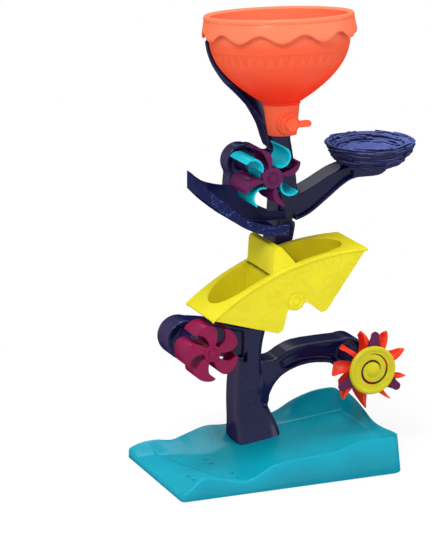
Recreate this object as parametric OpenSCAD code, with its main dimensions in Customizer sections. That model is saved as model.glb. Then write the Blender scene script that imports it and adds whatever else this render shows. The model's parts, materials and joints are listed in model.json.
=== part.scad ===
// Sand and water tower: a moulded tree stands in a tray and carries a hopper with a tap,
// three wheels, a slide, a tipping tray and a nest.
// Millimetres, +Z up, front towards -Y, origin on the ground under the middle of the tower.

/* [Base tray] */
// Length of the tray along X
tray_l = 330; // [320:1:345]
// Width of the tray along Y
tray_w = 210; // [204:1:230]
// Distance from the middle of the tower to the low end of the tray
tray_left = 201; // [195:1:206]
// Thickness of the moulded skin
tray_skin = 3; // [2:0.25:4]
// How far the outer walls lean in over their height
tray_draft = 5; // [2:0.5:8]
// Radius of the corners at the high end
tray_corner_r = 18; // [10:1:28]
// Height of the floor at the low lip
lip_h = 8; // [7:0.5:10]
// Height of the floor at the high end
floor_h = 40; // [34:1:44]
// Height of the front wall at the high end
front_wall_h = 53; // [50:1:60]
// Height of the back corner
back_wall_h = 70; // [64:1:80]
// Width of the ledge at the high end
ledge_w = 17; // [12:1:24]
// How far the inner walls lean out over their height
basin_run = 25; // [15:1:30]
// Diameter of the drain holes
drain_d = 5; // [3:0.5:7]

/* [Trunk] */
// Front face of the trunk
trunk_front = 46; // [44:0.5:50]
// Depth of the trunk
trunk_depth = 45; // [42:0.5:52]
// How far the foot reaches forward of the trunk
foot_reach = 22; // [15:1:26]
// Height of the pad that the foot stands on
foot_z = 20; // [18:0.5:22]
// Height at which the two halves of the trunk meet
split_z = 282; // [276:1:290]

/* [Branches] */
// Depth of the branches
branch_depth = 40; // [34:1:42]
// Width of the raised rim round a branch
branch_rim = 5; // [3.5:0.5:7]
// Depth of the recess inside the rim
branch_recess = 9; // [5:0.5:12]
// Radius of the bosses that carry the wheels
boss_r = 10; // [8.5:0.5:11]

/* [Hopper] */
// X of the hopper's axis
hopper_x = -18; // [-22:0.5:-16]
// Height of the bottom of the spout
spout_z = 469; // [468:0.5:474]
// Y of the middle of the rim
hopper_rim_y = 2; // [0:0.5:3]
// Lean of the hopper towards the back, in degrees
hopper_lean = 5; // [3:0.5:6]
// Height of the spout
spout_h = 42; // [40:1:46]
// Depth of the bowl from the rim to the neck
bowl_depth = 119; // [110:1:125]
// Radius of the bowl under the rim
bowl_r = 95; // [90:0.5:96]
// Wall of the bowl
bowl_wall = 3; // [2.5:0.25:4]
// Outer radius of the neck
neck_r = 25.7; // [25:0.1:28]
// Radius of the rim at the bottom of its drips
drip_r = 104; // [103:0.5:105]
// Number of drips round the rim
drips = 11; // [9:1:13]
// Length of the drips below the rim
drip_h = 32; // [28:1:33]
// Depth of the gaps between the drips
drip_gap_h = 11; // [8:0.5:13]
// Radius of the tap
tap_r = 8.5; // [7.5:0.25:9]
// Length of the tap's lever from its axis
lever_l = 28; // [24:0.5:28]

/* [Wheels] */
// Radius of the pins that the wheels turn on
pin_r = 3; // [2.5:0.25:3.5]
// Radius of the upper wheel
upper_wheel_r = 44.5; // [40:0.5:45]
// Axial length of the upper wheel
upper_wheel_l = 60; // [54:1:62]
// Radius of the small wheel
small_wheel_r = 40; // [36:0.5:42]
// Axial length of the small wheel
small_wheel_l = 46; // [40:1:50]
// Radius of the sun's paddles
sun_r = 57; // [54:0.5:59]
// Radius of the sun's disc
sun_disc_r = 34.5; // [32:0.5:37]
// Thickness of the blades and buckets
blade_t = 2.6; // [2:0.2:3.2]

/* [Tipping tray] */
// Half length of the tipping tray
tip_half_l = 121; // [116:0.5:124]
// Width of the tipping tray along Y
tip_w = 94; // [90:0.5:96]
// Tilt at each stop, in degrees
tip_tilt = 19; // [16:0.5:20]
// Height of the rim above the pivot in the middle
tip_rim_h = 49; // [47:0.5:52]
// How far the rim falls towards the ends
tip_fall = 22; // [18:0.5:25]
// Height of the divider's top above the pivot
tip_peak_h = 82; // [76:0.5:83]
// Wall of the tipping tray
tip_wall = 2.8; // [2.2:0.2:3.4]
// Radius of the tipping tray's pin
tip_pin_r = 5; // [4:0.25:5.5]

/* [Nest and slide] */
// Radius of the nest
nest_r = 62.5; // [58:0.5:62.5]
// Height of the nest
nest_h = 40; // [36:1:44]
// Thickness of the slide
slide_t = 3; // [2.4:0.2:3.6]

/* [Fits] */
// Gap between a pin and what turns on it
run_gap = 0.05; // [0.03:0.01:0.08]
// Gap between pieces that are fixed together
seat_gap = 0.2; // [0.1:0.05:0.3]
// Gap beside pieces that move past each other
side_gap = 0.4; // [0.3:0.05:0.6]

/* [Hidden] */
$fn = 64;

tray_teal = [0.08, 0.58, 0.66];
bark = [0.09, 0.10, 0.30];
coral = [0.96, 0.38, 0.26];
plum = [0.35, 0.10, 0.30];
aqua = [0.0, 0.64, 0.68];
magenta = [0.65, 0.10, 0.34];
lime = [0.87, 0.85, 0.14];
flame = [0.93, 0.24, 0.16];
twig = [0.24, 0.28, 0.54];
steel = [0.7, 0.7, 0.72];

eps = 0.01;
big = 400;
trunk_back = trunk_front + trunk_depth;
branch_front = trunk_front;
branch_back = branch_front + branch_depth;

// Axles: X and Z, then the front of the wheel
upper_axis = [-50, 421];
small_axis = [-132, 183];
sun_axis = [108, 131];
tip_axis = [-14, 246];
wheel_front = -45;
upper_wheel_front = -57;
wheel_rear = wheel_front + small_wheel_l;
upper_wheel_rear = upper_wheel_front + upper_wheel_l;
pin_seat = 25;
pin_head_r = 2 * pin_r;
pin_head_t = 2.5;
cap_depth = 5;
cap_r = pin_head_r + 1;

// Curves and lofts
function mix(a, b, t) = a + (b - a) * t;
function last(list) = list[len(list) - 1];

function curve_point(p, i, t) =
    let (a = p[max(i - 1, 0)], b = p[i], c = p[i + 1], d = p[min(i + 2, len(p) - 1)])
    0.5 * (2 * b + (c - a) * t + (2 * a - 5 * b + 4 * c - d) * t * t
           + (3 * b - a - 3 * c + d) * t * t * t);

// Smooth curve through points chosen by hand, in n steps between each pair
function curve(p, n) =
    concat([for (i = [0 : len(p) - 2], k = [0 : n - 1]) curve_point(p, i, k / n)], [last(p)]);

// Point beside a middle line of [x, z, half width]
function beside(c, i, side, inset) =
    let (a = c[max(i - 1, 0)], b = c[min(i + 1, len(c) - 1)],
         d = [b[0] - a[0], b[1] - a[1]] / norm([b[0] - a[0], b[1] - a[1]]),
         w = side * (c[i][2] - inset))
    [c[i][0] - d[1] * w, c[i][1] + d[0] * w];

module ribbon(line, inset = 0) {
    c = curve(line, 5);
    n = len(c) - 1;
    polygon(concat([for (i = [0 : n]) beside(c, i, 1, inset)],
                   [for (i = [n : -1 : 0]) beside(c, i, -1, inset)]));
}

// Outline between an upper and a lower edge
module between(top, under) {
    a = curve(top, 4);
    b = curve(under, 4);
    polygon(concat(a, [for (i = [len(b) - 1 : -1 : 0]) b[i]]));
}

// Draws an X-Z outline between two Y planes
module along_y(y0, y1) {
    translate([0, y1, 0])
        rotate([90, 0, 0])
            linear_extrude(y1 - y0)
                children();
}

// Draws a Y-Z outline between two X planes
module along_x(x0, x1) {
    translate([x0, 0, 0])
        rotate([90, 0, 90])
            linear_extrude(x1 - x0)
                children();
}

// Cylinder along Y at [x, z]
module rod(at, r, y0, y1) {
    translate([at[0], y1, at[1]])
        rotate([90, 0, 0])
            cylinder(r = r, h = y1 - y0);
}

module rounded_box2d(x0, y0, x1, y1, r0, r1) {
    translate([x0, y0 + r0])
        square([x1 - x0 - r1, y1 - y0 - 2 * r0]);
    translate([x0 + r0, y0])
        square([x1 - x0 - r0 - r1, y1 - y0]);
    translate([x1 - r1 - eps, y0 + r1])
        square([r1 + eps, y1 - y0 - 2 * r1]);
    for (y = [y0 + r0, y1 - r0])
        translate([x0 + r0, y])
            circle(r0);
    for (y = [y0 + r1, y1 - r1])
        translate([x1 - r1, y])
            circle(r1);
}

// Solid through rings whose points run round the outside and back along the inside
module loft(rings) {
    n = len(rings[0]);
    m = len(rings);
    top = (m - 1) * n;
    sides = [for (i = [0 : m - 2], k = [0 : n - 1])
             let (a = i * n + k, b = i * n + (k + 1) % n)
             each [[a, b, b + n], [a, b + n, a + n]]];
    ends = [for (k = [0 : n / 2 - 2])
            let (a = k, b = k + 1, c = n - 2 - k, d = n - 1 - k)
            each [[c, b, a], [d, c, a], [top + a, top + b, top + c], [top + a, top + c, top + d]]];
    polyhedron(points = [for (r = rings) each r], faces = concat(sides, ends));
}

// Base tray

tray_x0 = -tray_left;
tray_x1 = tray_x0 + tray_l;
tray_y = tray_w / 2;
tray_top = back_wall_h + 4;
lip_corner_r = 6;
end_run = 8;
floor_x1 = tray_x1 - ledge_w - end_run;
floor_slope = atan((floor_h - lip_h) / (floor_x1 - tray_x0));
wall_span_x = tray_x1 - ledge_w - basin_run;
basin_rise = 40;
basin_y_front = -80;
basin_y_back = 72;
apron_drop = 3;
basin_over = 20;

// Tops of the walls: distance from the low end and height
front_wave = [[0, lip_h + 1], [12, 16], [28, 27.5], [42, 30], [60, 25.5], [90, 19], [104, 20.5], [120, 27.5],
              [138, 35], [180, 40], [225, 41.5], [250, 49.5], [270, front_wall_h]];
back_wave = [[0, lip_h + 4], [20, 19], [42, 20.5], [66, 17.5], [90, 25], [116, 32.5], [144, 31], [185, 32],
             [222, 41], [246, 54], [266, 62], [286, back_wall_h - 3]];
end_wave = [[-tray_y, front_wall_h], [-80, front_wall_h - 1], [-40, front_wall_h - 5.5],
            [-10, front_wall_h - 5], [20, front_wall_h + 4], [50, back_wall_h - 5], [80, back_wall_h - 2],
            [tray_y, back_wall_h - 2]];
// Edge of the low apron: X and Y
apron_edge = [[-176, 110], [-170, 75], [-160, 42], [-147, 10], [-132, -40], [-119, -77], [-112, -110]];
// Middles of the pairs of drain holes
drain_pairs = [[-118, 5], [-165, -46], [-108, -64]];
drain_pitch = 18;
socket_wall = 8;
pad_t = 4;

module above(wave, x0, x1, drop) {
    c = curve(wave, 6);
    polygon(concat([[x0, c[0][1] - drop]], [for (p = c) [p[0], p[1] - drop]],
                   [[x1, last(c)[1] - drop], [x1, big], [x0, big]]));
}

module tray_block(inset) {
    x0 = tray_x0 + inset;
    x1 = tray_x1 - inset;
    y = tray_y - inset;
    in_front = [for (p = front_wave) [p[0] + tray_x0, p[1]]];
    in_back = [for (p = back_wave) [p[0] + tray_x0, p[1]]];
    difference() {
        intersection() {
            along_y(-y, y)
                polygon([[x0, -eps], [x1, -eps], [x1 - tray_draft, tray_top], [x0, tray_top]]);
            along_x(x0, x1)
                polygon([[-y, -eps], [y, -eps], [y - tray_draft, tray_top], [tray_draft - y, tray_top]]);
            linear_extrude(tray_top)
                rounded_box2d(x0, -y, x1, y, lip_corner_r, tray_corner_r);
        }
        along_y(-big, 0)
            above(in_front, tray_x0 - 1, wall_span_x + eps, inset);
        along_y(0, big)
            above(in_back, tray_x0 - 1, wall_span_x + eps, inset);
        along_x(wall_span_x, big)
            above(end_wave, -big, big, inset);
    }
}

module basin_trough(grow) {
    translate([tray_x0, 0, lip_h - grow])
        rotate([0, -floor_slope, 0])
            along_x(-big, big)
                polygon([[basin_y_front - grow, -basin_over], [basin_y_back + grow, -basin_over],
                         [basin_y_back + grow, 0],
                         [basin_y_back + grow + basin_run, basin_rise],
                         [basin_y_back + grow + basin_run, 2 * basin_rise],
                         [basin_y_front - grow - basin_run, 2 * basin_rise],
                         [basin_y_front - grow - basin_run, basin_rise],
                         [basin_y_front - grow, 0]]);
}

module basin(grow) {
    edge = curve(apron_edge, 4);
    out_x = tray_x0 - basin_over;
    out_z = lip_h - basin_over * tan(floor_slope) - grow;
    intersection() {
        basin_trough(grow);
        union() {
            along_y(-big, big)
                polygon([[out_x, out_z], [floor_x1 + grow, floor_h - grow],
                         [floor_x1 + basin_run + grow, floor_h + basin_rise - grow],
                         [out_x, floor_h + basin_rise]]);
            intersection() {
                along_y(-big, big)
                    polygon([[out_x, out_z - apron_drop], [floor_x1, floor_h - apron_drop - grow],
                             [floor_x1, floor_h], [out_x, floor_h]]);
                linear_extrude(floor_h)
                    polygon(concat([for (p = edge) [p[0] + grow, p[1]]],
                                   [[out_x, last(edge)[1]], [out_x, edge[0][1]]]));
            }
        }
    }
}

module tray_socket() {
    intersection() {
        difference() {
            tray_block(0);
            basin(0);
        }
        translate([foot_x - foot_half_w - socket_wall, trunk_front - foot_reach - socket_wall,
                   foot_z - pad_t])
            cube([2 * (foot_half_w + socket_wall), trunk_depth + foot_reach + 2.5 * socket_wall, big]);
    }
}

module base_tray() {
    color(tray_teal)
        difference() {
            union() {
                difference() {
                    tray_block(0);
                    basin(0);
                    difference() {
                        translate([0, 0, -eps])
                            tray_block(tray_skin);
                        basin(tray_skin);
                    }
                }
                tray_socket();
            }
            loft(trunk_rings(foot_line, seat_gap));
            for (at = foot_screw_at)
                translate([at[0], at[1], 0])
                    cylinder(r = screw_r + seat_gap, h = 2 * foot_z);
            for (p = drain_pairs, side = [-1, 1])
                translate([p[0], p[1] + side * drain_pitch / 2, -eps])
                    cylinder(d = drain_d, h = floor_h);
        }
}

// Trunk

// Middle line of the trunk: X, Z, half width and how far the front reaches forward
foot_x = -29;
foot_half_w = 34;
foot_line = [[foot_x, foot_z, foot_half_w, foot_reach], [foot_x - 1, foot_z + 22, 31, 0.6 * foot_reach],
             [-37, 75, 24, 0.25 * foot_reach], [-39, 110, 20, 4]];
lower_line = concat(foot_line, [[-36, 143, 17, 0], [-29, 178, 16, 0], [-9, 240, 16, 0],
                                [4, split_z, 16, 0]]);
upper_line = [[4, split_z, 16, 0], [12, 306, 16, 0], [17, 345, 16.5, 0], [17, 385, 16, 0],
              [12, 425, 15, 0], [6, 448, 17, 0]];
squareness = 2 / 5;
ring_steps = 14;

function square_off(v) = sign(v) * pow(abs(v), squareness);

function trunk_point(p, a, grow) =
    let (front = trunk_front - p[3] - grow, back = trunk_back + grow)
    [p[0] + (p[2] + grow) * square_off(cos(a)),
     (front + back) / 2 + (back - front) / 2 * square_off(sin(a)), p[1]];

function trunk_ring(p, grow) =
    concat([for (k = [0 : ring_steps]) trunk_point(p, 225 - 270 * k / ring_steps, grow)],
           [for (k = [ring_steps : -1 : 0]) trunk_point(p, 225 + 90 * (k + 0.5) / (ring_steps + 1), grow)]);

function trunk_rings(line, grow) = [for (p = curve(line, 3)) trunk_ring(p, grow)];

screw_r = 2;
screw_head_r = 3.6;
screw_head_t = 2.5;
screw_l = 16;
screw_sink = 4;
foot_screw_at = [[foot_x - 18, trunk_front + 8], [foot_x + 16, trunk_front + 8],
                 [foot_x - 1, trunk_back - 12]];

// Roots of the branches: the face on the trunk, its lower and upper ends, and the side it points to
left_root = [-43, 136, 184, -1];
right_root = [-22, 68, 134, 1];
nest_root = [25, 328, 371, 1];
wheel_root = [5, 388, 434, -1];
tongue_l = 12;
tongue_h = 18;
tongue_d = 16;
tongue_y = trunk_front + trunk_depth / 2;

function root_mid(root) = (root[1] + root[2]) / 2;
function tongue_screw(root) = [root[0] - root[3] * tongue_l / 2, root_mid(root)];

module root_space(root) {
    translate([root[3] > 0 ? root[0] : root[0] - big, -big, root[1]])
        cube([big, 2 * big, root[2] - root[1]]);
}

module tongue(root, gap) {
    x = root[3] > 0 ? root[0] - tongue_l - gap : root[0] - 1;
    translate([x, tongue_y - tongue_d / 2 - gap, root_mid(root) - tongue_h / 2 - gap])
        cube([tongue_l + gap + 1, tongue_d + 2 * gap, tongue_h + 2 * gap]);
}

module back_screw_hole(at) {
    rod(at, screw_r + seat_gap / 2, tongue_y, big);
    rod(at, screw_head_r + seat_gap, trunk_back - screw_sink, big);
}

// Tongue of the upper half in the lower half
plug_h = 24;
plug_w = 16;
plug_d = 22;
plug_screw = [4, split_z - plug_h / 2];

module plug(gap) {
    translate([plug_screw[0] - plug_w / 2 - gap, tongue_y - plug_d / 2 - gap, split_z - plug_h - gap])
        cube([plug_w + 2 * gap, plug_d + 2 * gap, plug_h + gap + 1]);
}

// Two pegs under the pivot stop the tipping tray
peg_r = 6;
peg_drop = 30;
peg_x = 9.2;
pivot_boss_r = 12;
boss_root = 8;
tip_back = trunk_front - 5;
tip_front = tip_back - tip_w;

module trunk_lower() {
    color(bark)
        difference() {
            union() {
                difference() {
                    loft(trunk_rings(lower_line, 0));
                    root_space(left_root);
                    root_space(right_root);
                    tongue(left_root, seat_gap);
                    tongue(right_root, seat_gap);
                }
                rod(tip_axis, pivot_boss_r, tip_back + side_gap, trunk_front + boss_root);
                for (side = [-1, 1])
                    rod(tip_axis + [side * peg_x, -peg_drop], peg_r, tip_back - tip_wall - 1,
                        trunk_front + boss_root);
            }
            rod(tip_axis, tip_pin_r, 0, trunk_front + pin_seat);
            plug(seat_gap);
            back_screw_hole(plug_screw);
            back_screw_hole(tongue_screw(left_root));
            back_screw_hole(tongue_screw(right_root));
            for (at = foot_screw_at)
                translate([at[0], at[1], 0])
                    cylinder(r = screw_r + eps, h = foot_z + screw_l);
        }
}

// Cradle of the hopper at the top of the trunk: depth below the rim and reach past the bowl
cradle = [[92, 13.1], [84, 10.9], [76, 8.9], [68, 7.7], [60, 6.7], [48, 5.7], [drip_h + 2, 5.6]];
cradle_left = 74;
cradle_right = 54;
cradle_gap = 0.9;
hopper_l = spout_h + 3 + bowl_depth;
spout_y = hopper_rim_y - hopper_l * sin(hopper_lean);
bowl_round = 2.1;
bowl_straight = 31;

// Outer radius of the bowl at a depth below the rim
function bowl_at(d) =
    let (t = max(0, min(1, (d - bowl_straight) / (bowl_depth - bowl_straight))))
    neck_r + (bowl_r - neck_r) * (1 - pow(t, bowl_round));

function hopper_point(x, y, s) =
    [hopper_x + x, spout_y + y * cos(hopper_lean) + s * sin(hopper_lean),
     spout_z - y * sin(hopper_lean) + s * cos(hopper_lean)];

function cradle_point(r, k, d) =
    let (a = mix(-cradle_left, cradle_right, k / ring_steps))
    hopper_point(r * sin(a), r * cos(a), hopper_l - d);

function cradle_ring(c) =
    concat([for (k = [0 : ring_steps]) cradle_point(bowl_at(c[0]) + c[1], k, c[0])],
           [for (k = [ring_steps : -1 : 0]) cradle_point(bowl_at(c[0]) + cradle_gap, k, c[0])]);

flare_steps = 5;
flare_bend = 1.3;
flare_rings = let (a = trunk_ring(last(upper_line), 0), b = cradle_ring(cradle[0]))
    [for (i = [1 : flare_steps - 1])
     let (t = pow(i / flare_steps, flare_bend), h = i / flare_steps)
     [for (k = [0 : len(a) - 1])
      [mix(a[k][0], b[k][0], t), mix(a[k][1], b[k][1], t), mix(a[k][2], b[k][2], h)]]];

module trunk_upper() {
    color(bark)
        difference() {
            union() {
                difference() {
                    loft(concat(trunk_rings(upper_line, 0), flare_rings, [for (c = cradle) cradle_ring(c)]));
                    root_space(nest_root);
                    root_space(wheel_root);
                    tongue(nest_root, seat_gap);
                    tongue(wheel_root, seat_gap);
                }
                plug(0);
            }
            rod(plug_screw, screw_r + eps, tongue_y - plug_d, big);
            back_screw_hole(tongue_screw(nest_root));
            back_screw_hole(tongue_screw(wheel_root));
        }
}

module screw(l) {
    cylinder(r = screw_r, h = l);
    translate([0, 0, -screw_head_t])
        cylinder(r = screw_head_r, h = screw_head_t + eps);
}

module foot_screws() {
    color(steel)
        for (at = foot_screw_at)
            translate([at[0], at[1], foot_z - pad_t])
                screw(screw_l);
}

module joint_screws() {
    color(steel)
        for (at = [plug_screw, tongue_screw(left_root), tongue_screw(right_root),
                   tongue_screw(nest_root), tongue_screw(wheel_root)])
            translate([at[0], trunk_back - screw_sink, at[1]])
                rotate([90, 0, 0])
                    screw(screw_l);
}

// Branches

// Middle lines: X, Z and half width
left_line = [[left_root[0], root_mid(left_root), 23.5], [-62, 165, 23], [-88, 173, 23], [-112, 176, 25],
             [-134, 177, 27]];
left_end = [-135, 177, 28];
// Upper and lower edges of the right branch: X and Z
right_top = [[right_root[0], right_root[2] - seat_gap], [0, 134], [17, 143], [37, 150], [66, 152],
             [96, 152.5], [112, 152]];
right_under = [[right_root[0], right_root[1] + seat_gap], [-11, 71], [-8, 86], [2, 102], [16, 113],
               [40, 121], [66, 122], [92, 117], [112, 106]];
right_end = [113, 129, 25];
nest_line = [[nest_root[0], 349.5, 19], [44, 355, 17], [70, 370, 14], [96, 386, 11.5], [118, 393, 9.5],
             [154, 393, 8.5], [168, 397.5, 4]];
wheel_line = [[wheel_root[0], root_mid(wheel_root), 21], [-18, 414, 19], [-50, 420, 23]];
wheel_end = [upper_axis[0], upper_axis[1], 25];
stem_line = [[-54, 412, 14], [-60, 400, 11], [-62, 382, 10], [-62, 366, 10]];

module end_disc(e, inset) {
    translate([e[0], e[1]])
        circle(e[2] - inset);
}

// Keeps a branch outside its seat on the trunk
module clear_of_trunk(root) {
    difference() {
        children();
        translate([root[3] > 0 ? root[0] - big + seat_gap : root[0] - seat_gap, -big])
            square([big, 3 * big]);
    }
}

module branch(root, back) {
    difference() {
        union() {
            along_y(branch_front, back)
                clear_of_trunk(root)
                    children(0);
            tongue(root, 0);
        }
        along_y(branch_front - 1, branch_front + branch_recess)
            children(1);
        rod(tongue_screw(root), screw_r + eps, branch_front, big);
    }
}

module wheel_boss(axis, front) {
    difference() {
        union() {
            children();
            rod(axis, boss_r, front, branch_front + branch_recess + 2);
        }
        rod(axis, pin_r, front - 1, front + pin_seat);
    }
}

module left_branch() {
    color(bark)
        wheel_boss(small_axis, wheel_rear + side_gap)
            branch(left_root, branch_back) {
                union() {
                    ribbon(left_line);
                    end_disc(left_end, 0);
                }
                clear_of_trunk(left_root + [-branch_rim, 0, 0, 0])
                    union() {
                        ribbon(left_line, branch_rim);
                        end_disc(left_end, branch_rim);
                    }
            }
}

module right_branch() {
    color(bark)
        wheel_boss(sun_axis, wheel_rear + side_gap)
            branch(right_root, branch_back) {
                union() {
                    between(right_top, right_under);
                    end_disc(right_end, 0);
                }
                union() {
                    between([for (i = [1 : len(right_top) - 1]) right_top[i] + [branch_rim + 1, -branch_rim]],
                            [for (i = [4 : len(right_under) - 1]) right_under[i] + [0, branch_rim]]);
                    end_disc(right_end, branch_rim);
                }
            }
}

wheel_branch_back = branch_front + 26;

module wheel_branch() {
    color(bark)
        wheel_boss(upper_axis, upper_wheel_rear + side_gap)
            branch(wheel_root, wheel_branch_back) {
                union() {
                    ribbon(wheel_line);
                    ribbon(stem_line);
                    end_disc(wheel_end, 0);
                }
                clear_of_trunk(wheel_root + [-branch_rim, 0, 0, 0])
                    union() {
                        ribbon(wheel_line, branch_rim);
                        end_disc(wheel_end, branch_rim);
                    }
            }
}

nest_recess_x = 116;

// Space above the flat seat of the nest
module nest_seat2d() {
    translate([nest_right - 2 * nest_r, nest_z - 2 * seat_gap])
        square(big);
}

module nest_branch() {
    color(bark)
        branch(nest_root, branch_back) {
            difference() {
                ribbon(nest_line);
                nest_seat2d();
            }
            clear_of_trunk(nest_root + [branch_rim, 0, 0, 0])
                intersection() {
                    ribbon(nest_line, branch_rim - 1);
                    square([nest_recess_x, big]);
                }
        }
}

// Nest

nest_right = 201;
nest_y = 42;
nest_z = last(nest_line)[1] + last(nest_line)[2] + 2 * seat_gap;
twigs = 6;
twig_r = 4;
nest_floor_r = 40;
nest_foot_r = 38;
nest_lip = 4;
nest_hollow = 14;

function nest_side(t) = mix(nest_foot_r, nest_r - 2.6, pow(t, 0.6));

module nest() {
    side_h = nest_h - nest_lip;
    color(twig)
        translate([nest_right - nest_r, nest_y, nest_z])
            rotate_extrude() {
                polygon(concat([[0, 0]],
                               [for (i = [0 : twigs]) [nest_side(i / twigs), side_h * i / twigs]],
                               [[nest_r - 10, side_h], [nest_floor_r, side_h - nest_hollow],
                                [0, side_h - nest_hollow - 2]]));
                for (i = [1 : twigs])
                    translate([nest_side(i / twigs) - 1.4, side_h * (i - 0.3) / twigs])
                        circle(twig_r);
            }
}

// Leaf slide

// Plan of the leaf: X and Y of the front edge, then of the back edge
leaf_front = [[-146, 14], [-136, -12], [-113, -30], [-86, -39], [-54, -40], [-16, -35]];
leaf_back = trunk_front - seat_gap;
// Heights along the slide: X, floor, top of the front wall and top of the back wall
leaf_floor = [[-150, 408], [-127, 387], [-102, 367], [-85, 355], [-66, 346], [-47, 340.5], [-14, 335.5]];
leaf_rim = [[-150, 429], [-134, 410], [-111, 389], [-85, 366], [-70, 359], [-54, 353], [-38, 350.5],
            [-14, 350]];
leaf_rear = [[-150, 429], [-119, 406], [-100, 398], [-85, 394], [-62, 388], [-40, 366], [-14, 352]];
leaf_wall = 4;
leaf_end = last(leaf_front)[0];
leaf_back_edge = [[leaf_end, leaf_back], [-78, leaf_back], [-112, leaf_back - 8]];
leaf_mid_y = 8;
leaf_exit_y = -20;
leaf_lug = [-18, leaf_back - leaf_wall, 337];
leaf_lug_size = [30, leaf_wall, 12];

module leaf_plan(inset) {
    polygon(concat([for (p = curve(leaf_front, 5)) p + [inset, inset]],
                   [for (p = leaf_back_edge) p + [inset, -inset]]));
}

module leaf_slide() {
    under = [for (p = leaf_floor) p - [0, slide_t]];
    color(bark)
        union() {
            intersection() {
                linear_extrude(2 * big)
                    leaf_plan(0);
                along_y(-big, big)
                    between(leaf_floor, under);
            }
            intersection() {
                linear_extrude(2 * big)
                    difference() {
                        leaf_plan(0);
                        leaf_plan(leaf_wall);
                        translate([leaf_end - leaf_wall, leaf_exit_y])
                            square([big, leaf_back - leaf_exit_y - leaf_wall]);
                    }
                union() {
                    along_y(-big, leaf_mid_y)
                        between(leaf_rim, under);
                    along_y(leaf_mid_y, big)
                        between(leaf_rear, under);
                }
            }
            translate(leaf_lug)
                cube(leaf_lug_size);
        }
}

// Hopper

rim_t = 3;
rim_h = 5;
rim_r = bowl_r + 6;
skirt_in = 0.5;
// Rounded top of the rim: distance from its outer radius and depth
rim_profile = [[-6.5, 0.6], [-4.5, 0], [-2.5, 0], [-0.8, 0.8], [0, 2.5], [0, rim_h]];
drip_first = 265;
drip_steps = 12;
spout_top_r = 24.5;
spout_foot_r = 19.5;
spout_bore_r = 6.5;
spigot_r = 14;
spigot_h = 5;
spout_cone_h = 8;
tap_z = 17;
tap_boss_r = 15.5;
tap_boss_y = 24;
bowl_steps = 10;

module in_hopper() {
    translate([hopper_x, spout_y, spout_z])
        rotate([-hopper_lean, 0, 0])
            children();
}

// Lower edge of the rim below its top, drip by drip
function drip_at(a) = drip_h - drip_gap_h * (1 - cos(drips * (a - drip_first))) / 2;
function drip_point(r, a, d) = [r * cos(a), r * sin(a), hopper_l - d];

// Thin flared skirt whose lower edge rises and falls as a wave
module drip_skirt() {
    n = drips * drip_steps;
    flare = (drip_r - rim_r) / drip_h;
    top_r = rim_r - skirt_in;
    points = [for (i = [0 : n - 1])
              let (a = 360 * i / n, d = drip_at(a), r = rim_r + flare * d)
              each [drip_point(top_r, a, rim_t), drip_point(r, a, d),
                    drip_point(r - rim_t, a, d), drip_point(top_r - rim_t, a, rim_t)]];
    faces = [for (i = [0 : n - 1], k = [0 : 3])
             let (j = (i + 1) % n, m = (k + 1) % 4)
             each [[4 * i + k, 4 * j + k, 4 * j + m], [4 * i + k, 4 * j + m, 4 * i + m]]];
    polyhedron(points = points, faces = faces);
}

module hopper_bowl() {
    depths = [for (i = [0 : bowl_steps]) mix(bowl_straight, bowl_depth, i / bowl_steps)];
    color(coral)
        in_hopper() {
            rotate_extrude()
                polygon(concat(
                    [for (p = rim_profile) [rim_r + p[0], hopper_l - p[1]]],
                    [[bowl_r + 1, hopper_l - rim_h]],
                    [for (d = depths) [bowl_at(d), hopper_l - d]],
                    [[neck_r, spout_h + seat_gap], [spigot_r + seat_gap, spout_h + seat_gap],
                     [spigot_r + seat_gap, spout_h + 3]],
                    [for (i = [bowl_steps : -1 : 0])
                     [max(spigot_r + seat_gap, bowl_at(depths[i]) - bowl_wall), hopper_l - depths[i] + 1]],
                    [[bowl_r + 1 - bowl_wall, hopper_l - 2]]));
            drip_skirt();
        }
}

module hopper_spout() {
    color(coral)
        in_hopper()
            difference() {
                union() {
                    rotate_extrude()
                        polygon([[spout_bore_r, 0], [spout_foot_r, 0], [spout_top_r, spout_h - 2],
                                 [spout_top_r, spout_h], [spigot_r, spout_h], [spigot_r, spout_h + spigot_h],
                                 [spigot_r - 2, spout_h + spigot_h], [spout_bore_r, spout_h - spout_cone_h]]);
                    rod([0, tap_z], tap_boss_r, -tap_boss_y, -spout_bore_r - 3);
                }
                rod([0, tap_z], tap_r + run_gap, -2 * tap_boss_y, 2 * tap_boss_y);
            }
}

tap_flange_t = 3.5;
tap_knob_l = 9;
lever_w = 9;
clip_y = spout_foot_r + 4;
clip_t = 2;
groove = 1.2;

module tap_barrel() {
    front = -tap_boss_y - side_gap;
    color(coral)
        in_hopper()
            difference() {
                union() {
                    rod([0, tap_z], tap_r, front - eps, clip_y + clip_t + 2);
                    rod([0, tap_z], tap_boss_r - 2.5, front - tap_flange_t, front);
                    rod([0, tap_z], tap_r + 0.5, front - tap_flange_t - tap_knob_l, front);
                    along_y(front - tap_flange_t - tap_knob_l + 1, front - tap_flange_t - 1) {
                        translate([0, tap_z - lever_w / 2])
                            square([lever_l - lever_w / 2, lever_w]);
                        translate([lever_l - lever_w / 2, tap_z])
                            circle(lever_w / 2);
                    }
                }
                translate([-2 * tap_r, 0, tap_z])
                    rotate([0, 90, 0])
                        cylinder(r = spout_bore_r - 1, h = 4 * tap_r);
                difference() {
                    rod([0, tap_z], tap_r + 1, clip_y - eps, clip_y + clip_t + eps);
                    rod([0, tap_z], tap_r - groove, 0, 2 * clip_y);
                }
            }
}

module tap_clip() {
    color(coral)
        in_hopper()
            difference() {
                rod([0, tap_z], tap_r + 4, clip_y + seat_gap, clip_y + clip_t - seat_gap);
                rod([0, tap_z], tap_r - groove + seat_gap, 0, 2 * clip_y);
            }
}

// Wheels

// Circle through two points on the radius with a bulge to the clockwise side
function bulge_r(r0, r1, b) = ((r1 - r0) * (r1 - r0) / 4 + b * b) / (2 * b);

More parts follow.
